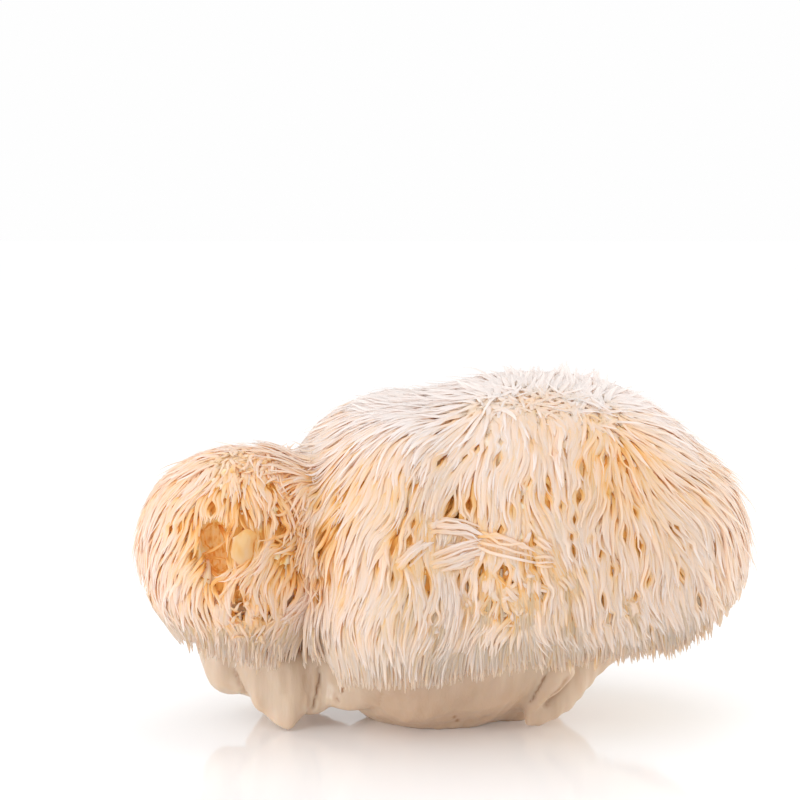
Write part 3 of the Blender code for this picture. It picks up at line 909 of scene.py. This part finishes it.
# Where the coat is yellower: a pixel of the picture, a radius and how much
YELLOWER = (
    ((612, 450), 0.015, 0.33), ((545, 415), 0.013, 0.30), ((455, 470), 0.020, 0.08),
    ((515, 600), 0.013, 0.08), ((285, 478), 0.011, 0.14), ((300, 535), 0.014, 0.30),
    ((262, 525), 0.014, 0.26), ((222, 545), 0.012, 0.36), ((245, 500), 0.014, 0.05),
    ((250, 610), 0.014, 0.10),
)


def warmth(points):
    return patchy(points, YELLOWER, 0.007, 1.5)


def varied(mean, count):
    return mean + chance.normal(size=count) * VARIETY


material = coat_material("spines", WAXINESS)
pieces = []


# edge is how much more orange a spine's flanks are painted, a painted shade between the spines;
# lighter is painted light.
def add_spines(name, centres, radii, flatness, warm, pale, edge, sides=3, lighter=0.0):
    tint = lighter + np.clip(1 + chance.normal(size=len(centres)) * TINT_VARIETY, 0.95, 1.03)
    values = {"warm": warm, "tint": tint, "pale": pale}
    mesh = spine_mesh(name, centres, radii, flatness, values, edge, sides)
    mesh.materials.append(material)
    pieces.append(place(mesh, name))


# ---- Strands drawn in pixels of the picture, with heights and half widths in millimetres
Drawn = namedtuple("Drawn", "pixels heights half_width fibres warm")
FINE_STEPS, SOFTENINGS = 36, 14


def drawn_routes(strands):
    routes = []
    for strand in strands:
        places = on_coat(strand.pixels, np.array(strand.heights) * MM)
        steps = np.linalg.norm(np.diff(places, axis=0), axis=1)
        along = np.concatenate(((0,), np.cumsum(steps))) / steps.sum()
        fine = np.linspace(0, 1, FINE_STEPS)
        route = np.stack([np.interp(fine, along, axis) for axis in places.T], axis=-1)
        for _ in range(SOFTENINGS):
            route[1:-1] = (route[:-2] + 2 * route[1:-1] + route[2:]) / 4
        routes.append(route)
    return np.array(routes)


def bundled(routes, widths, fibres, closing):
    """A bundle of fibres along each route, that closes up towards its end."""
    copies = np.repeat(routes, fibres, axis=0)
    wide = np.repeat(widths, fibres)[:, None, None]
    count = len(copies)
    ways = unit(np.gradient(copies, axis=1))
    side = unit(np.cross(ways, outward(copies[:, FINE_STEPS // 2])[:, None]))
    share = np.linspace(0, 1, FINE_STEPS)[None, :, None]
    lane = np.tile(np.linspace(-1, 1, fibres), len(routes))[:, None, None]
    lane = lane + chance.normal(size=lane.shape) * 0.25
    lift = np.cross(side, ways)
    wave = fine_waves(copies + chance.normal(size=(count, 1, 3)) * 0.002)[..., :1]
    copies = copies + side * wide * (lane * (1 - closing * share) + wave * 0.25)
    return copies + lift * wide * chance.uniform(-0.9, 0.1, (count, 1, 1))


MATTED = (
    Drawn(
        ((404, 533), (420, 528), (436, 526), (467, 528), (485, 539), (504, 546)),
        (3, 8, 8.5, 9, 9, 5), 1.42, 18, -0.04
    ),
    Drawn(((404, 512), (421, 521), (436, 528), (452, 532)), (4, 8, 8.5, 5), 0.79, 14, -0.04),
    Drawn(
        ((378, 582), (396, 569), (412, 553), (427, 541), (440, 533)),
        (4, 8.5, 9, 9, 5), 1.10, 14, -0.04
    ),
    Drawn(
        ((400, 577), (427, 564), (452, 554), (485, 546), (505, 543)),
        (5, 8.5, 9, 9, 4), 2.05, 24, -0.03
    ),
    Drawn(((412, 573), (442, 566), (470, 559), (490, 549)), (5, 8.5, 9, 5), 1.74, 18, -0.03),
    Drawn(
        ((452, 536), (485, 541), (511, 550), (534, 557), (562, 560)),
        (5, 9.2, 9.4, 9, 4), 1.91, 18, -0.04
    ),
    Drawn(((518, 526), (534, 542), (550, 551), (566, 556)), (4, 8.5, 9, 5), 1.27, 14, -0.04),
    Drawn(((489, 576), (504, 587), (516, 599), (534, 610)), (4, 8.5, 9, 5), 1.27, 14, -0.04),
    Drawn(((535, 562), (532, 581), (534, 593), (537, 608)), (4, 8.5, 9, 6), 1.42, 14, -0.04),
    Drawn(((500, 632), (520, 622), (538, 612)), (5, 9, 5), 1.27, 14, -0.04),
    Drawn(((473, 624), (487, 620), (500, 615)), (5, 8.5, 5), 0.79, 7, -0.04),
    Drawn(((516, 562), (536, 557), (551, 561), (568, 568)), (4, 8.5, 9, 5), 1.27, 14, -0.07),
    Drawn(((543, 569), (561, 574), (573, 587), (575, 603)), (4, 8.5, 9, 5), 1.27, 14, -0.04),
    Drawn(((482, 562), (488, 579), (486, 592), (480, 603)), (4, 8.5, 9, 5), 1.27, 14, -0.07),
    Drawn(((490, 606), (500, 602), (507, 596), (498, 591)), (5, 8.5, 8.5, 4), 0.64, 7, -0.02),
    Drawn(
        ((619, 608), (626, 602), (636, 606), (635, 618), (624, 626)),
        (5, 8.5, 9, 8.5, 4), 0.79, 14, -0.07
    ),
    Drawn(((428, 629), (436, 632), (444, 631)), (7, 9, 7), 0.47, 7, -0.17),
    Drawn(((461, 596), (467, 604), (470, 613)), (5, 9, 7), 0.79, 7, -0.04),
    Drawn(((448, 648), (456, 658), (465, 668)), (5, 8.5, 8), 1.10, 14, -0.17),
    Drawn(((559, 631), (569, 629), (580, 632)), (5, 8.5, 5), 0.79, 7, -0.04),
)
MATTED_ROUTES = drawn_routes(MATTED)


def pressed(centres):
    """Presses the spines down under the matted sheets that lie across them."""
    points = centres.reshape(-1, 3).copy()
    tree = tree_of(points)
    for route, strand in zip(MATTED_ROUTES, MATTED):
        for spot, height in zip(route, distance(route)):
            reach = strand.half_width * MM + 0.0012
            found = [index for _, index, _ in tree.find_range(spot, reach)]
            if found:
                under_sheet = max(height - 0.0007, CORE * LOBES[MAIN].coat + 0.0004)
                over = np.maximum(distance(points[found]) - under_sheet, 0)
                points[found] -= outward(points[found]) * over[:, None]
    return points.reshape(centres.shape)


GAPS = drawn_gaps()
GAPS = Gaps(*(np.concatenate(pair) for pair in zip(GAPS, scattered_gaps(GAPS))))


def add_mantle():
    routes, roots, lobes, share = mantle()
    side, front, left = lobes == SIDE, roots[:, 1] < 0, roots[:, 0] < 0.015
    regions = {
        "spines_side_lobe": side,
        "spines_front_left": ~side & front & left,
        "spines_front_right": ~side & front & ~left,
        "spines_back_left": ~side & ~front & left,
        "spines_back_right": ~side & ~front & ~left,
    }
    for name, inside in regions.items():
        shares = FEWER_SHARES if "back" in name else SHARES
        centres = sample(routes[inside], shares[None] * share[inside, None])
        count = len(centres)
        wide = chance.random(count) < WIDE_ONES
        thick = chance.uniform(*WIDE_RADII, count)
        thick = np.where(wide, thick, chance.uniform(*NARROW_RADII, count))
        thick *= fineness(roots[inside], lobes[inside]) * MM
        high = smooth(centres[:, 3, 2], 0.062, 0.085)
        # Flanks painted more orange by this much, a painted shade between the spines, less over the
        # top.
        edge = np.where(lobes[inside] == SIDE, 0.06, 0.09 - 0.06 * high)
        # Over the top the spines are painted paler and less yellow, a painted highlight from the
        # light above; the yellower patches are their own colour.
        warm = varied(0.0, count) - 0.22 * high + warmth(centres[:, 3])
        warm -= 0.22 * smooth(centres[:, 3, 2], 0.076, 0.087)
        centres, near = part_spines(centres)
        if "front" in name:
            centres = pressed(centres)
        # Spines beside a gap are painted more orange: painted shade and glow round the gaps.
        pale = ripeness_and_shade(centres, lobes[inside], shares[None]) - 0.34 * near
        # Painted highlight over the top, most near the roots.
        pale += 0.12 * high[:, None] * (1 - shares)[None]
        flatter = 1 + 0.25 * high
        radii = (thick / flatter)[:, None] * taper(shares)[None]
        flatness = chance.uniform(1.6, 2.2, count) * flatter
        # The side lobe's spines are painted a little lighter: painted light on that lobe.
        lighter = 0.02 if name == "spines_side_lobe" else 0.0
        add_spines(name, centres, radii, flatness, warm, pale, edge, lighter=lighter)


def add_tier(name, centres, shares, radii, profile, warm, edge):
    """Straight spines that are alike but for how thick and how yellow they are."""
    count = len(centres)
    radii = chance.uniform(*radii, count)[:, None] * profile[None]
    warm = varied(warm, count)
    pale = np.broadcast_to(TIER_PALENESS + TIP_PALENESS * shares, radii.shape)
    add_spines(name, centres, radii, np.ones(count), warm, pale, np.full(count, edge))


def add_fringe():
    routes, share = fringe()
    shares = np.array((0.20, 0.50, 0.74, 0.91, 1.0))
    centres = sample(routes, shares[None] * share[:, None])
    profile = 1 - 0.82 * shares**7
    add_tier("spines_fringe", centres, shares, FRINGE_RADII, profile, 0.12, 0.08)


def add_underside():
    routes = underside()
    shares = np.linspace(0, 1, 5)
    centres = sample(routes, np.broadcast_to(shares, (len(routes), 5)))
    profile = 1 - 0.8 * shares**5
    add_tier("spines_underside", centres, shares, UNDER_RADII, profile, 0.08, 0.12)


add_mantle()
add_fringe()
add_underside()

# ---- Strands drawn one by one
SIDE_STRANDS = (
    Drawn(
        ((193, 559), (205, 554), (218, 548), (228, 540), (235, 526)),
        (4, 5.5, 6, 6, 4), 0.2, 1, 0.15
    ),
    Drawn(((194, 557), (210, 558), (227, 560), (236, 565)), (4, 5.5, 5.5, 4), 0.2, 1, 0.2),
    Drawn(((207, 562), (212, 574), (221, 580), (237, 574)), (4, 6, 6.5, 4), 0.2, 1, 0.15),
    Drawn(((217, 522), (225, 538), (230, 553), (229, 568)), (3, 5.5, 6, 4), 0.2, 1, 0.2),
)
FLAKES = (
    Drawn(((203, 556), (200, 574), (198, 598), (200, 632)), (4, 6.6, 7.0, 5.5), 1.2, 1, 0.0),
    Drawn(((208, 558), (207, 574), (205, 594), (209, 622)), (4, 6.6, 7.0, 5.5), 0.9, 1, 0.08),
    Drawn(((227, 588), (226, 604), (223, 618), (227, 641)), (4, 7.2, 7.7, 6.5), 1.3, 1, -0.04),
    Drawn(((219, 596), (216, 612), (220, 632)), (5, 8.3, 7), 0.7, 1, 0.0),
    Drawn(((188, 566), (184, 586), (178, 608)), (4, 7.9, 6), 0.8, 1, 0.0),
    Drawn(((250, 600), (249, 618), (253, 640)), (5, 7.9, 7), 0.8, 1, 0.04),
)


# Loose strands across a place: where it is and how far it spreads, in pixels of the picture
Tangle = namedtuple("Tangle", "pixel spread count length curl warm")
TANGLES = (
    Tangle((520, 413), (34, 10), 40, (14, 28), 0.10, -0.10),
    Tangle((514, 600), (22, 30), 38, (12, 26), 0.16, -0.08),
    Tangle((628, 612), (8, 8), 14, (10, 20), 0.30, -0.05),
    Tangle((470, 545), (50, 18), 30, (16, 34), 0.05, -0.12),
    Tangle((262, 470), (26, 8), 26, (9, 18), 0.18, 0.0),
    Tangle((308, 530), (16, 36), 40, (12, 24), 0.35, 0.06),
    Tangle((250, 625), (34, 22), 30, (10, 20), 0.30, 0.02),
)


LANDED = 0.0005  # how near its height a drawn strand has to come down


def lands(strand):
    """Whether all of a drawn strand is on the mushroom as the picture shows it."""
    heights = np.array(strand.heights) * MM
    return np.abs(distance(on_coat(strand.pixels, heights)) - heights).max() < LANDED


def tangled(tangle):
    """Short stray strands across a place, each a curve that bends one way."""
    strands = []
    for _ in range(tangle.count):
        spot = np.array(tangle.pixel) + chance.normal(size=2) * tangle.spread * 0.55
        heading = chance.uniform(0, 2 * math.pi)
        bend = chance.normal() * tangle.curl
        length = chance.uniform(*tangle.length)
        turns = heading + bend * np.arange(6)
        steps = np.stack((np.cos(turns), np.sin(turns)), axis=-1) * length / 5
        pixels = spot + np.cumsum(steps, axis=0) - steps[0] * 3
        top = chance.uniform(7.6, 9.0)
        heights = (5.2, top - 0.6, top, top, top - 0.5, chance.uniform(5.5, top))
        strand = Drawn(pixels, heights, 0.3, 1, tangle.warm + chance.normal() * VARIETY)
        if lands(strand):
            strands.append(strand)
    return strands


def add_drawn(name, strands, thick, closing, fraying):
    routes = [
        bundled(route[None], np.array([strand.half_width]) * MM, strand.fibres, closing)
        for route, strand in zip(drawn_routes(strands), strands)
    ]
    routes = np.concatenate(routes)
    count = len(routes)
    shares = np.linspace(0, 1, 8)
    start = chance.uniform(0.0, fraying, (count, 1))
    end = chance.uniform(1 - fraying, 1.0, (count, 1))
    centres = sample(routes, start + (end - start) * shares)
    profile = np.sqrt(np.clip(shares * 6, 0.1, 1)) * (1 - 0.8 * shares**3)
    radii = chance.uniform(0.75, 1.25, (count, 1)) * thick * profile
    warm = np.repeat([strand.warm for strand in strands], [strand.fibres for strand in strands])
    warm = varied(warm, count)
    pale = ripeness_and_shade(centres, np.full(count, MAIN), shares[None])
    edge = np.full(count, 0.12)
    add_spines(name, centres, radii, np.full(count, 1.5), warm, pale, edge, sides=4)


def add_flakes():
    """Broad smooth tatters of flesh, each a single flat tube that comes to a point."""
    routes = drawn_routes(FLAKES)
    count = len(routes)
    shares = np.linspace(0, 1, 14)
    centres = sample(routes, np.broadcast_to(shares, (count, 14)))
    profile = np.sqrt(np.clip(shares * 3.5, 0.04, 1)) * (1 - 0.9 * shares**2.6)
    radii = np.array([flake.half_width for flake in FLAKES])[:, None] * MM * profile
    warm = np.array([flake.warm for flake in FLAKES])
    pale = np.broadcast_to(0.45 + 0.3 * shares, radii.shape)
    flatness, edge = np.full(count, 1.45), np.full(count, 0.05)
    add_spines("flakes", centres, radii, flatness, warm, pale, edge, sides=12)


add_drawn("strands_matted", MATTED, 0.00028, 0.2, 0.30)
add_drawn("strands_side", SIDE_STRANDS, 0.00030, 0.0, 0.02)
add_flakes()
loose_strands = [strand for tangle in TANGLES for strand in tangled(tangle)]
add_drawn("strands_tangled", loose_strands, 0.00036, 0.0, 0.1)


NUB_PIXEL, NUB_HEIGHT, NUB_TILT = (243, 549), 0.0060, 14
NUB_RADII = (0.0033, 0.0031, 0.0050)


def add_nub():
    """A smooth oval nub in the hollow of the side lobe, painted more orange on its right side, a
    painted shade.
    """
    mesh = bmesh.new()
    spot = on_coat(NUB_PIXEL, NUB_HEIGHT)
    turn = Matrix.Rotation(math.radians(NUB_TILT), 4, "Y") @ Matrix.Diagonal((*NUB_RADII, 1))
    set_down = Matrix.Translation(spot) @ turn
    bmesh.ops.create_uvsphere(mesh, u_segments=32, v_segments=20, radius=1, matrix=set_down)
    data = bpy.data.meshes.new("nub")
    mesh.to_mesh(data)
    mesh.free()
    data.shade_smooth()
    co = vectors_of(data, "co")
    co += Waves(0.005, 31)(co) * 0.00025
    data.vertices.foreach_set("co", co.astype(np.float32).ravel())
    # painted shade: more orange towards the nub's right side
    aside = (co[:, 0] - spot[0]) / NUB_RADII[0]
    add_values(data, "pale", 0.22 - 0.12 * aside)
    add_values(data, "warm", np.zeros(len(co)))
    add_values(data, "tint", np.full(len(co), 0.98))
    add_vectors(data, "fibre", co * (300, 300, 120))
    data.materials.append(material)
    pieces.append(place(data, "nub"))


add_nub()

# ---- Flesh
# The torn flaps of the base: each is the skin round a few balls, by their middles and radii
LEFT_PAD = (
    ((-0.0590, -0.004, 0.0185), 0.0055), ((-0.0555, -0.008, 0.0115), 0.0042),
    ((-0.0490, -0.010, 0.0105), 0.0042), ((-0.0450, 0.006, 0.0200), 0.0070),
)
LEFT_WEDGE = (
    ((-0.0490, -0.014, 0.0160), 0.0030), ((-0.0465, -0.017, 0.0075), 0.0032),
    ((-0.0397, -0.018, 0.0022), 0.0025), ((-0.0385, -0.017, 0.0060), 0.0030),
    ((-0.0380, -0.014, 0.0180), 0.0035), ((-0.0450, 0.000, 0.0190), 0.0060),
)
LEFT_FOLD = (
    ((-0.0335, -0.014, 0.0066), 0.0028), ((-0.0308, -0.013, 0.0060), 0.0025),
    ((-0.0320, -0.012, 0.0180), 0.0045), ((-0.0340, 0.002, 0.0180), 0.0060),
)
BACK_FOLD = (
    ((-0.0480, 0.010, 0.0120), 0.0050), ((-0.0420, 0.004, 0.0010), 0.0035),
    ((-0.0200, 0.006, 0.0160), 0.0080),
)
TORN_BIT = (
    ((-0.0272, -0.015, 0.0078), 0.0026), ((-0.0215, -0.017, 0.0074), 0.0032),
    ((-0.0240, -0.008, 0.0170), 0.0070),
)
RIGHT_SHEET = (
    ((0.0430, -0.0090, 0.0185), 0.0035), ((0.0375, -0.0115, 0.0112), 0.0024),
    ((0.0286, -0.0140, 0.0040), 0.0020), ((0.0230, -0.0155, 0.0019), 0.0019),
    ((0.0235, -0.0130, 0.0110), 0.0030), ((0.0300, -0.0080, 0.0180), 0.0060),
)
RIGHT_RIDGE = (
    ((0.0312, -0.0195, 0.0160), 0.0026), ((0.0293, -0.0195, 0.0115), 0.0020),
    ((0.0255, -0.0190, 0.0078), 0.0017), ((0.0226, -0.0182, 0.0048), 0.0015),
    ((0.0240, -0.0130, 0.0120), 0.0035),
)
RIGHT_FOLD = (
    ((0.0400, 0.012, 0.0210), 0.0065), ((0.0260, 0.008, 0.0060), 0.0050),
    ((0.0190, -0.004, 0.0010), 0.0050), ((0.0150, 0.010, 0.0180), 0.0080),
)
FLAPS = (
    LEFT_PAD, LEFT_WEDGE, LEFT_FOLD, BACK_FOLD, TORN_BIT, RIGHT_SHEET, RIGHT_RIDGE, RIGHT_FOLD
)
CORE_VOXEL, BASE_VOXEL = 0.0012, 0.0009
IRONINGS = 20
GAP_DEPTH = 0.0003
RIM_DEPTH = 0.0012  # how far the flesh round a clearing sinks under the spines


def add_lobe(mesh, lobe):
    ball = bmesh.ops.create_uvsphere(mesh, u_segments=48, v_segments=32, radius=1)
    verts = ball["verts"]
    ways = unit(np.array([vert.co for vert in verts]))
    places = on_lobe(lobe, ways, lobe.coat * (1 - CORE))
    low = places[:, 2] < lobe.centre[2]
    places[low, 2] = lobe.centre[2] + (places[low, 2] - lobe.centre[2]) * UNDERSIDE
    for vert, co in zip(verts, places):
        vert.co = co


def flap_skin(flap):
    mesh = bmesh.new()
    for centre, radius in flap:
        at = Matrix.Translation(centre)
        bmesh.ops.create_icosphere(mesh, subdivisions=3, radius=radius, matrix=at)
    bmesh.ops.delete(mesh, geom=list(mesh.edges), context="EDGES_FACES")
    bmesh.ops.convex_hull(mesh, input=list(mesh.verts))
    inside = [vert for vert in mesh.verts if not vert.link_faces]
    bmesh.ops.delete(mesh, geom=inside, context="VERTS")
    data = bpy.data.meshes.new("flap")
    mesh.to_mesh(data)
    mesh.free()
    return data


def fused(name, mesh, voxel):
    """One skin round everything in a mesh; its places and normals come back with it."""
    data = bpy.data.meshes.new(name)
    mesh.to_mesh(data)
    mesh.free()
    piece = place(data, name)
    remesh = piece.modifiers.new("fuse", "REMESH")
    remesh.mode = "VOXEL"
    remesh.voxel_size = voxel
    ironed = piece.modifiers.new("iron", "SMOOTH")
    ironed.factor = 0.5
    ironed.iterations = IRONINGS
    bpy.context.view_layer.update()
    graph = bpy.context.evaluated_depsgraph_get()
    skin = bpy.data.meshes.new_from_object(piece.evaluated_get(graph))
    piece.modifiers.clear()
    piece.data = skin
    skin.shade_smooth()
    skin.materials.clear()
    return piece, vectors_of(skin, "co"), vectors_of(skin, "normal")


def move(piece, places):
    piece.data.vertices.foreach_set("co", places.astype(np.float32).ravel())
    piece.data.update()


def add_core():
    """The flesh under the spines, hollowed where the coat has its gaps."""
    mesh = bmesh.new()
    for lobe in LOBES:
        add_lobe(mesh, lobe)
    piece, co, normals = fused("core", mesh, CORE_VOXEL)
    co = co + normals * Waves(0.004, 22)(co)[:, :1] * 0.00025
    hollow = np.zeros((len(co), 1))
    for pixel, radius, depth in CLEARINGS:
        beside, along, ray = from_sight_line(co, pixel)
        facing = along < SUNK_BEHIND
        near = (1 - smooth(beside, radius * 0.6, radius * 1.5)) * facing
        rim = (1 - smooth(beside, radius * 1.3, radius * 2.6)) * facing
        co = co + ray * near * depth - normals * rim * RIM_DEPTH
        hollow = np.maximum(hollow, near * 1.15)
    cleared = hollow[:, 0].clip(0, 1)
    deep = in_gaps(co)
    co = co - normals * deep[:, None] * GAP_DEPTH
    hollow = np.maximum(hollow[:, 0], deep)
    move(piece, co)
    high = smooth(co[:, 2], 0.058, 0.082)
    side = smooth(-co[:, 0], 0.028, 0.036)
    # Painted shading of the core: its tint darkens it all over, a painted shade to match the spines;
    # in its gaps and clearings it is more orange and brighter, a painted glow; over the top it is
    # paler and brighter, a painted highlight.
    bared = (hollow * 1.6).clip(0, 1) * (1 - 0.7 * high)
    ripe_and_shading = -0.60 * bared + 0.28 * cleared
    add_values(piece.data, "pale", 0.48 + 0.20 * high - 0.04 * side + ripe_and_shading)
    add_values(piece.data, "warm", warmth(co) * 0.4 * (1 - hollow.clip(0, 1)))
    add_values(piece.data, "tint", 0.80 + 0.12 * high + 0.14 * bared + 0.08 * cleared)
    add_vectors(piece.data, "fibre", co * (1200, 1200, 300))
    piece.data.materials.append(coat_material("core", 0.0))
    pieces.append(piece)


# Creases and stains of the base: a line in pixels of the picture, half its width in pixels, its depth
# in millimetres and how much darker and browner it is painted, for the flesh's own stains and for
# painted shade in the creases
CREASES = (
    (((234, 670), (240, 684), (247, 698)), 2.2, 0.6, 0.75),
    (((319, 668), (319, 680), (316, 697), (313, 708)), 1.8, 0.9, 1.00),
    (((312, 672), (310, 690), (308, 706)), 1.4, 0.15, 0.40),
    (((304, 676), (304, 692), (301, 708)), 2.0, 0.2, 0.35),
    (((284, 672), (285, 692)), 4.0, 0.2, 0.35),
    (((545, 676), (538, 689), (530, 702)), 1.6, 0.5, 0.90),
    (((567, 680), (561, 690), (552, 698), (546, 706)), 3.2, 0.5, 0.75),
    (((341, 688), (342, 693)), 1.8, 0.3, 1.30),
    (((335, 696), (338, 701)), 2.2, 0.3, 0.90),
    (((381, 693), (379, 704)), 2.0, 0.3, 0.70),
    (((455, 717), (457, 721)), 2.0, 0.1, 1.00),
)


def pixels_of(points):
    """Where places are in the picture."""
    offset = points - EYE
    size = PICTURE * CAMERA_DISTANCE / PICTURE_WIDTH / (offset @ FORWARD)
    across = PICTURE / 2 + offset @ RIGHT * size
    return np.stack((across, PICTURE / 2 - offset @ UP * size), axis=-1)


def beside_line(pixels, line):
    """How far pixels are from a line of straight pieces."""
    nearest_yet = np.full(len(pixels), np.inf)
    for start, end in zip(np.array(line[:-1], float), np.array(line[1:], float)):
        piece = end - start
        share = np.clip((pixels - start) @ piece / (piece @ piece), 0, 1)
        gap = np.linalg.norm(pixels - start - share[:, None] * piece, axis=-1)
        nearest_yet = np.minimum(nearest_yet, gap)
    return nearest_yet


def add_base():
    """The bare flesh of the base, with its torn flaps."""
    mesh = bmesh.new()
    bowl = Matrix.Translation(BOWL_CENTRE) @ Matrix.Diagonal((*BOWL_RADII, 1))
    bmesh.ops.create_uvsphere(mesh, u_segments=64, v_segments=32, radius=1, matrix=bowl)
    for flap in FLAPS:
        mesh.from_mesh(flap_skin(flap))
    piece, co, normals = fused("base", mesh, BASE_VOXEL)
    lumps = Waves(0.016, 21)(co)[:, :1] * 0.0005
    ridges = Waves(0.0035, 43)(co * (1, 1, 0.2))[:, :1] * 0.00014
    co = co + normals * (lumps + ridges)
    pixels = pixels_of(co)
    facing = smooth(-normals @ FORWARD, 0.1, 0.4)
    # Painted shade: the middle of the bowl's front, low under the lobes, is painted darker and
    # browner.
    ripe_and_shading = 0.58 * facing * (1 - smooth(np.abs(pixels[:, 0] - 450), 60, 110))
    ripe_and_shading = ripe_and_shading * smooth(pixels[:, 1], 660, 700)
    # Creases are sunk and painted darker and browner: the flesh's own stains and specks, with painted
    # shade in the creases.
    for line, half_width, depth, stain_and_shade in CREASES:
        beside = 1 - smooth(beside_line(pixels, line), half_width * 0.3, half_width * 1.4)
        beside = facing * beside
        co = co - normals * beside[:, None] * depth * MM
        ripe_and_shading = np.maximum(ripe_and_shading, beside * stain_and_shade)
    co[:, 2] = np.maximum(co[:, 2], 0.0)
    move(piece, co)
    add_values(piece.data, "ripe_and_shading", ripe_and_shading)
    add_vectors(piece.data, "fibre", co * (500, 500, 90))
    piece.data.materials.append(base_material())
    pieces.append(piece)


add_core()
add_base()

for piece in pieces:
    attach(piece, "root")
    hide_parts("fruiting_body")

# ---- Stage
FLOOR_SIZE = 4.0
WORLD_LIGHT = 0.99
LIGHT_BOUNCES = 64
SENSOR = 36

floor_mesh = bmesh.new()
bmesh.ops.create_grid(floor_mesh, x_segments=1, y_segments=1, size=FLOOR_SIZE / 2)
floor_data = bpy.data.meshes.new("floor")
floor_mesh.to_mesh(floor_data)
floor_mesh.free()
floor = place(floor_data, "floor")
floor_material, floor_tree, floor_shader = new_material("floor")
floor_look = {
    "Base Color": (0.96, 0.96, 0.97, 1),
    "Roughness": 0.09,
    "Specular IOR Level": 1.0,
    "Emission Color": (1, 1, 1, 1),
    "Emission Strength": 0.02,
}
set_inputs(floor_tree, floor_shader, floor_look)
floor_data.materials.append(floor_material)

world = bpy.data.worlds.new("studio")
bpy.context.scene.world = world
world.use_nodes = True
sky = world.node_tree.nodes["Background"]
set_inputs(world.node_tree, sky, {"Color": (1, 1, 1, 1), "Strength": WORLD_LIGHT})


def turned_to(piece, place_at, way):
    """Puts a light or a camera in its place, facing a way."""
    bpy.context.scene.collection.objects.link(piece)
    piece.location = place_at
    piece.rotation_mode = "QUATERNION"
    piece.rotation_quaternion = way.to_track_quat("-Z", "Y")


def area_light(name, place_at, size, power, aim=(0, 0, 0.04)):
    data = bpy.data.lights.new(name, "AREA")
    data.energy = power
    data.shape = "DISK"
    data.size = size
    turned_to(bpy.data.objects.new(name, data), place_at, Vector(aim) - Vector(place_at))


area_light("key", (-0.32, -0.42, 0.62), 0.5, 1.05)
area_light("top", (0.10, 0.20, 0.8), 0.6, 1.2)
area_light("low_right", (0.60, 0.00, 0.07), 0.3, 1.4, aim=(0.03, 0, 0.01))
area_light("low_left", (-0.60, -0.30, 0.07), 0.25, 1.6, aim=(-0.06, 0, 0.03))

camera_data = bpy.data.cameras.new("camera")
camera = bpy.data.objects.new("camera", camera_data)
camera_data.sensor_width = SENSOR
camera_data.lens = SENSOR * CAMERA_DISTANCE / PICTURE_WIDTH
turned_to(camera, EYE, Vector(FORWARD))
bpy.context.scene.camera = camera
bpy.context.scene.view_settings.view_transform = "Standard"
bpy.context.scene.view_settings.gamma = 1.2
for kind in ("max_bounces", "diffuse_bounces", "transmission_bounces"):
    setattr(bpy.context.scene.cycles, kind, LIGHT_BOUNCES)
